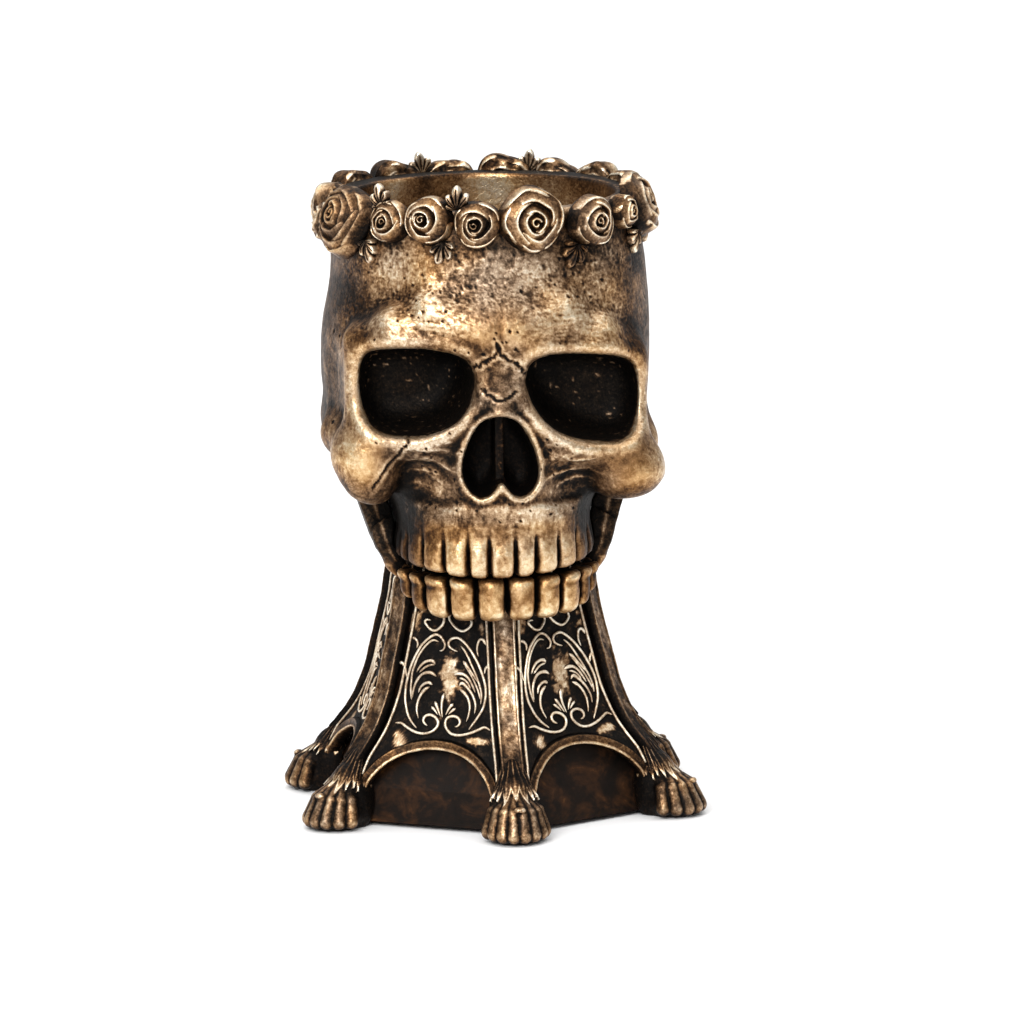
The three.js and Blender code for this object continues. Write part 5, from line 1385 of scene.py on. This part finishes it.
def srgb(c):
    c /= 255
    return c / 12.92 if c <= 0.04045 else ((c + 0.055) / 1.055) ** 2.4


def mix_colour(t, fac, a, b):
    n = t.nodes.new("ShaderNodeMix")
    n.data_type = "RGBA"
    if isinstance(fac, (int, float)):
        n.inputs["Factor"].default_value = fac
    else:
        t.links.new(fac, n.inputs["Factor"])
    for v, socket in ((a, n.inputs["A"]), (b, n.inputs["B"])):
        t.links.new(v, socket)
    return n.outputs["Result"]


def attribute(t, name):
    n = t.nodes.new("ShaderNodeAttribute")
    n.attribute_type = "GEOMETRY"
    n.attribute_name = name
    return n.outputs["Fac"]


COOL = [(0.0, (15, 13, 12)), (0.16, (31, 26, 21)), (0.34, (70, 55, 42)), (0.52, (122, 100, 80)), (0.70, (180, 157, 132)), (0.86, (222, 207, 186)), (1.0, (246, 238, 222))]
WARM = [(0.0, (14, 11, 9)), (0.16, (38, 24, 14)), (0.34, (84, 55, 29)), (0.52, (141, 102, 62)), (0.70, (195, 156, 108)), (0.86, (230, 204, 161)), (1.0, (250, 232, 198))]


def bronze(name, metal, rough, grain=1.0, lift=0.0, bump=0.7):
    m, t, b = new_material(name)
    co = t.nodes.new("ShaderNodeTexCoord").outputs["Object"]
    tone, warm, grit = attribute(t, "tone"), attribute(t, "warm"), attribute(t, "grit")
    fine = noise_node(t, co, 2300, 4, 0.65)
    mid = noise_node(t, co, 620, 4, 0.6, 0.4)
    broad = noise_node(t, co, 120, 3, 0.55)
    crisp = noise_node(t, co, 1150, 2, 0.5, 0.6)
    rubbed = math_node(t, "MULTIPLY", math_node(t, "SUBTRACT", fine, 0.5), 0.30 * grain)
    rubbed = math_node(t, "ADD", rubbed, math_node(t, "MULTIPLY", math_node(t, "SUBTRACT", mid, 0.5), 0.38 * grain))
    rubbed = math_node(t, "ADD", rubbed, math_node(t, "MULTIPLY", math_node(t, "SUBTRACT", crisp, 0.5), 0.50 * grain))
    v = math_node(t, "ADD", tone, math_node(t, "MULTIPLY", rubbed, grit))
    v = math_node(t, "ADD", v, lift, clamp=True)
    w = math_node(t, "ADD", warm, math_node(t, "MULTIPLY", math_node(t, "SUBTRACT", broad, 0.5), 0.9), clamp=True)
    colour = mix_colour(t, w, ramp(t, v, COOL), ramp(t, v, WARM))
    t.links.new(colour, b.inputs["Base Color"])
    b.inputs["Metallic"].default_value = metal
    b.inputs["Specular IOR Level"].default_value = 0.2
    rr = math_node(t, "ADD", math_node(t, "MULTIPLY", mid, 0.22), rough + 0.10)
    rr = math_node(t, "SUBTRACT", rr, math_node(t, "MULTIPLY", v, 0.34))
    t.links.new(rr, b.inputs["Roughness"])
    bm = t.nodes.new("ShaderNodeBump")
    bm.inputs["Strength"].default_value = bump
    bm.inputs["Distance"].default_value = 0.00022
    t.links.new(math_node(t, "ADD", math_node(t, "MULTIPLY", crisp, 0.9), mid), bm.inputs["Height"])
    t.links.new(bm.outputs["Normal"], b.inputs["Normal"])
    return m


MATS = {
    "bronze": bronze("antique_bronze_paint", 0.80, 0.38),
    "dark": bronze("aged_bronze_paint", 0.65, 0.46, 0.9),
}


def niche_material():
    """The mottled brown-black wash inside the arches and on the pedestal's core."""
    m, t, b = new_material("aged_bronze_niche")
    co = t.nodes.new("ShaderNodeTexCoord").outputs["Object"]
    big = noise_node(t, co, 85, 5, 0.6, 0.8)
    small = noise_node(t, co, 420, 4, 0.6)
    v = math_node(t, "ADD", math_node(t, "MULTIPLY", big, 0.8), math_node(t, "MULTIPLY", small, 0.25))
    col = ramp(t, v, [(0.34, (9, 7, 5)), (0.50, (23, 14, 8)), (0.62, (52, 31, 15)), (0.74, (92, 60, 31)), (0.86, (126, 92, 54))])
    t.links.new(col, b.inputs["Base Color"])
    b.inputs["Metallic"].default_value = 0.25
    b.inputs["Specular IOR Level"].default_value = 0.16
    t.links.new(math_node(t, "ADD", math_node(t, "MULTIPLY", small, 0.25), 0.42), b.inputs["Roughness"])
    bm = t.nodes.new("ShaderNodeBump")
    bm.inputs["Strength"].default_value = 0.5
    bm.inputs["Distance"].default_value = 0.0004
    t.links.new(big, bm.inputs["Height"])
    t.links.new(bm.outputs["Normal"], b.inputs["Normal"])
    return m


MATS["niche"] = niche_material()


# ------------------------------------------------------------- make the pieces
def make(p):
    # painted shade where a place is closed in and painted highlight where it stands open, laid over the real dark wash
    # and rubbed paint; rub sets how much a piece takes
    near = np.clip(p["near"], 0.3, 3.0)
    far = np.clip(p["far"], 0.3, 3.5)
    tone = p["tone"] - p["rub"] * (0.32 * np.clip(near - 1.15, -0.25, 1.2) + 0.20 * np.clip(far - 1.2, -0.2, 1.6))
    if "hold" in p:
        tone = np.where(p["hold"], np.minimum(p["tone"], tone), tone)
    tone = np.clip(tone, 0.0, 1.0)
    me = bpy.data.meshes.new(p["name"])
    V = p["V"] / 1000.0
    quads, tris = p["F"][0], (p["F"][1] if len(p["F"]) > 1 else np.zeros((0, 3), int))
    loops = np.concatenate([quads.ravel(), tris.ravel()]).astype(np.int32)
    starts = np.concatenate([np.arange(len(quads)) * 4, len(quads) * 4 + np.arange(len(tris)) * 3]).astype(np.int32)
    totals = np.concatenate([np.full(len(quads), 4), np.full(len(tris), 3)]).astype(np.int32)
    me.vertices.add(len(V))
    me.vertices.foreach_set("co", V.astype(np.float32).ravel())
    me.loops.add(len(loops))
    me.loops.foreach_set("vertex_index", loops)
    me.polygons.add(len(starts))
    me.polygons.foreach_set("loop_start", starts)
    me.polygons.foreach_set("loop_total", totals)
    me.update(calc_edges=True)
    me.validate()
    me.shade_smooth()
    grit = p.get("grit", np.ones(len(p["V"])))
    for label, values in (("tone", tone), ("warm", np.clip(p["warm"], 0, 1)), ("grit", grit)):
        a = me.attributes.new(label, "FLOAT", "POINT")
        a.data.foreach_set("value", values.astype(np.float32))
    me.materials.append(MATS[p["mat"]])
    ob = bpy.data.objects.new(p["name"], me)
    bpy.context.scene.collection.objects.link(ob)
    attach(ob, "root")
    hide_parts(p["node"])
    return ob


for p in PIECES:
    make(p)

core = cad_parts["pedestal_core"]
core.data.materials.clear()
core.data.materials.append(MATS["niche"])


# --------------------------------------------------------- floor, light, camera
def floor():
    s = 6.0
    me = bpy.data.meshes.new("floor")
    me.from_pydata([(-s, -s, 0), (s, -s, 0), (s, s, 0), (-s, s, 0)], [], [(0, 1, 2, 3)])
    m, t, b = new_material("pale_floor")
    co = t.nodes.new("ShaderNodeTexCoord").outputs["Object"]
    t.links.new(ramp(t, noise_node(t, co, 3, 2), [(0.0, (243, 243, 243)), (1.0, (249, 249, 249))]), b.inputs["Base Color"])
    b.inputs["Roughness"].default_value = 0.9
    b.inputs["Specular IOR Level"].default_value = 0.1
    me.materials.append(m)
    ob = bpy.data.objects.new("floor", me)
    bpy.context.scene.collection.objects.link(ob)


def area(name, loc, target, size, energy, colour=(1, 1, 1)):
    l = bpy.data.lights.new(name, "AREA")
    l.shape = "RECTANGLE"
    l.size, l.size_y = size
    l.energy = energy
    l.color = colour
    o = bpy.data.objects.new(name, l)
    bpy.context.scene.collection.objects.link(o)
    o.location = loc
    o.rotation_euler = (Vector(target) - Vector(loc)).to_track_quat("-Z", "Y").to_euler()
    return o


floor()
area("key", (-0.6, -1.25, 0.95), (0, 0, 0.12), (0.7, 0.7), 13)
area("front", (-0.55, -2.6, 1.5), (0, 0, 0.10), (2.2, 1.2), 27)
area("top", (0.0, 0.6, 3.4), (0, 0.6, 0.0), (7.0, 7.0), 225)
world = bpy.data.worlds.new("studio")
bpy.context.scene.world = world
world.use_nodes = True
bg = world.node_tree.nodes["Background"]
bg.inputs[0].default_value = (1, 1, 1, 1)
bg.inputs[1].default_value = 0.40

az, el, dist = -6.3 * D, 10.0 * D, 2.6
back = Vector((math.sin(az) * math.cos(el), -math.cos(az) * math.cos(el), math.sin(el)))
cam = bpy.data.cameras.new("camera")
cam_ob = bpy.data.objects.new("camera", cam)
bpy.context.scene.collection.objects.link(cam_ob)
cam_ob.location = Vector((0, 0, 0.1)) + back * dist
# the photograph leans a little: the vase's top is drawn off to the left
cam_ob.rotation_euler = (back.to_track_quat("Z", "Y") @ Quaternion((0, 0, 1), -1.0 * D)).to_euler()
cam.sensor_width = 36.0
cam.lens = 36.0 * dist / 0.32
cam.shift_x = 23.6 / 1024
cam.shift_y = -25 / 1024
cam.clip_start, cam.clip_end = 0.05, 50
bpy.context.scene.camera = cam_ob
bpy.context.scene.view_settings.view_transform = "Standard"
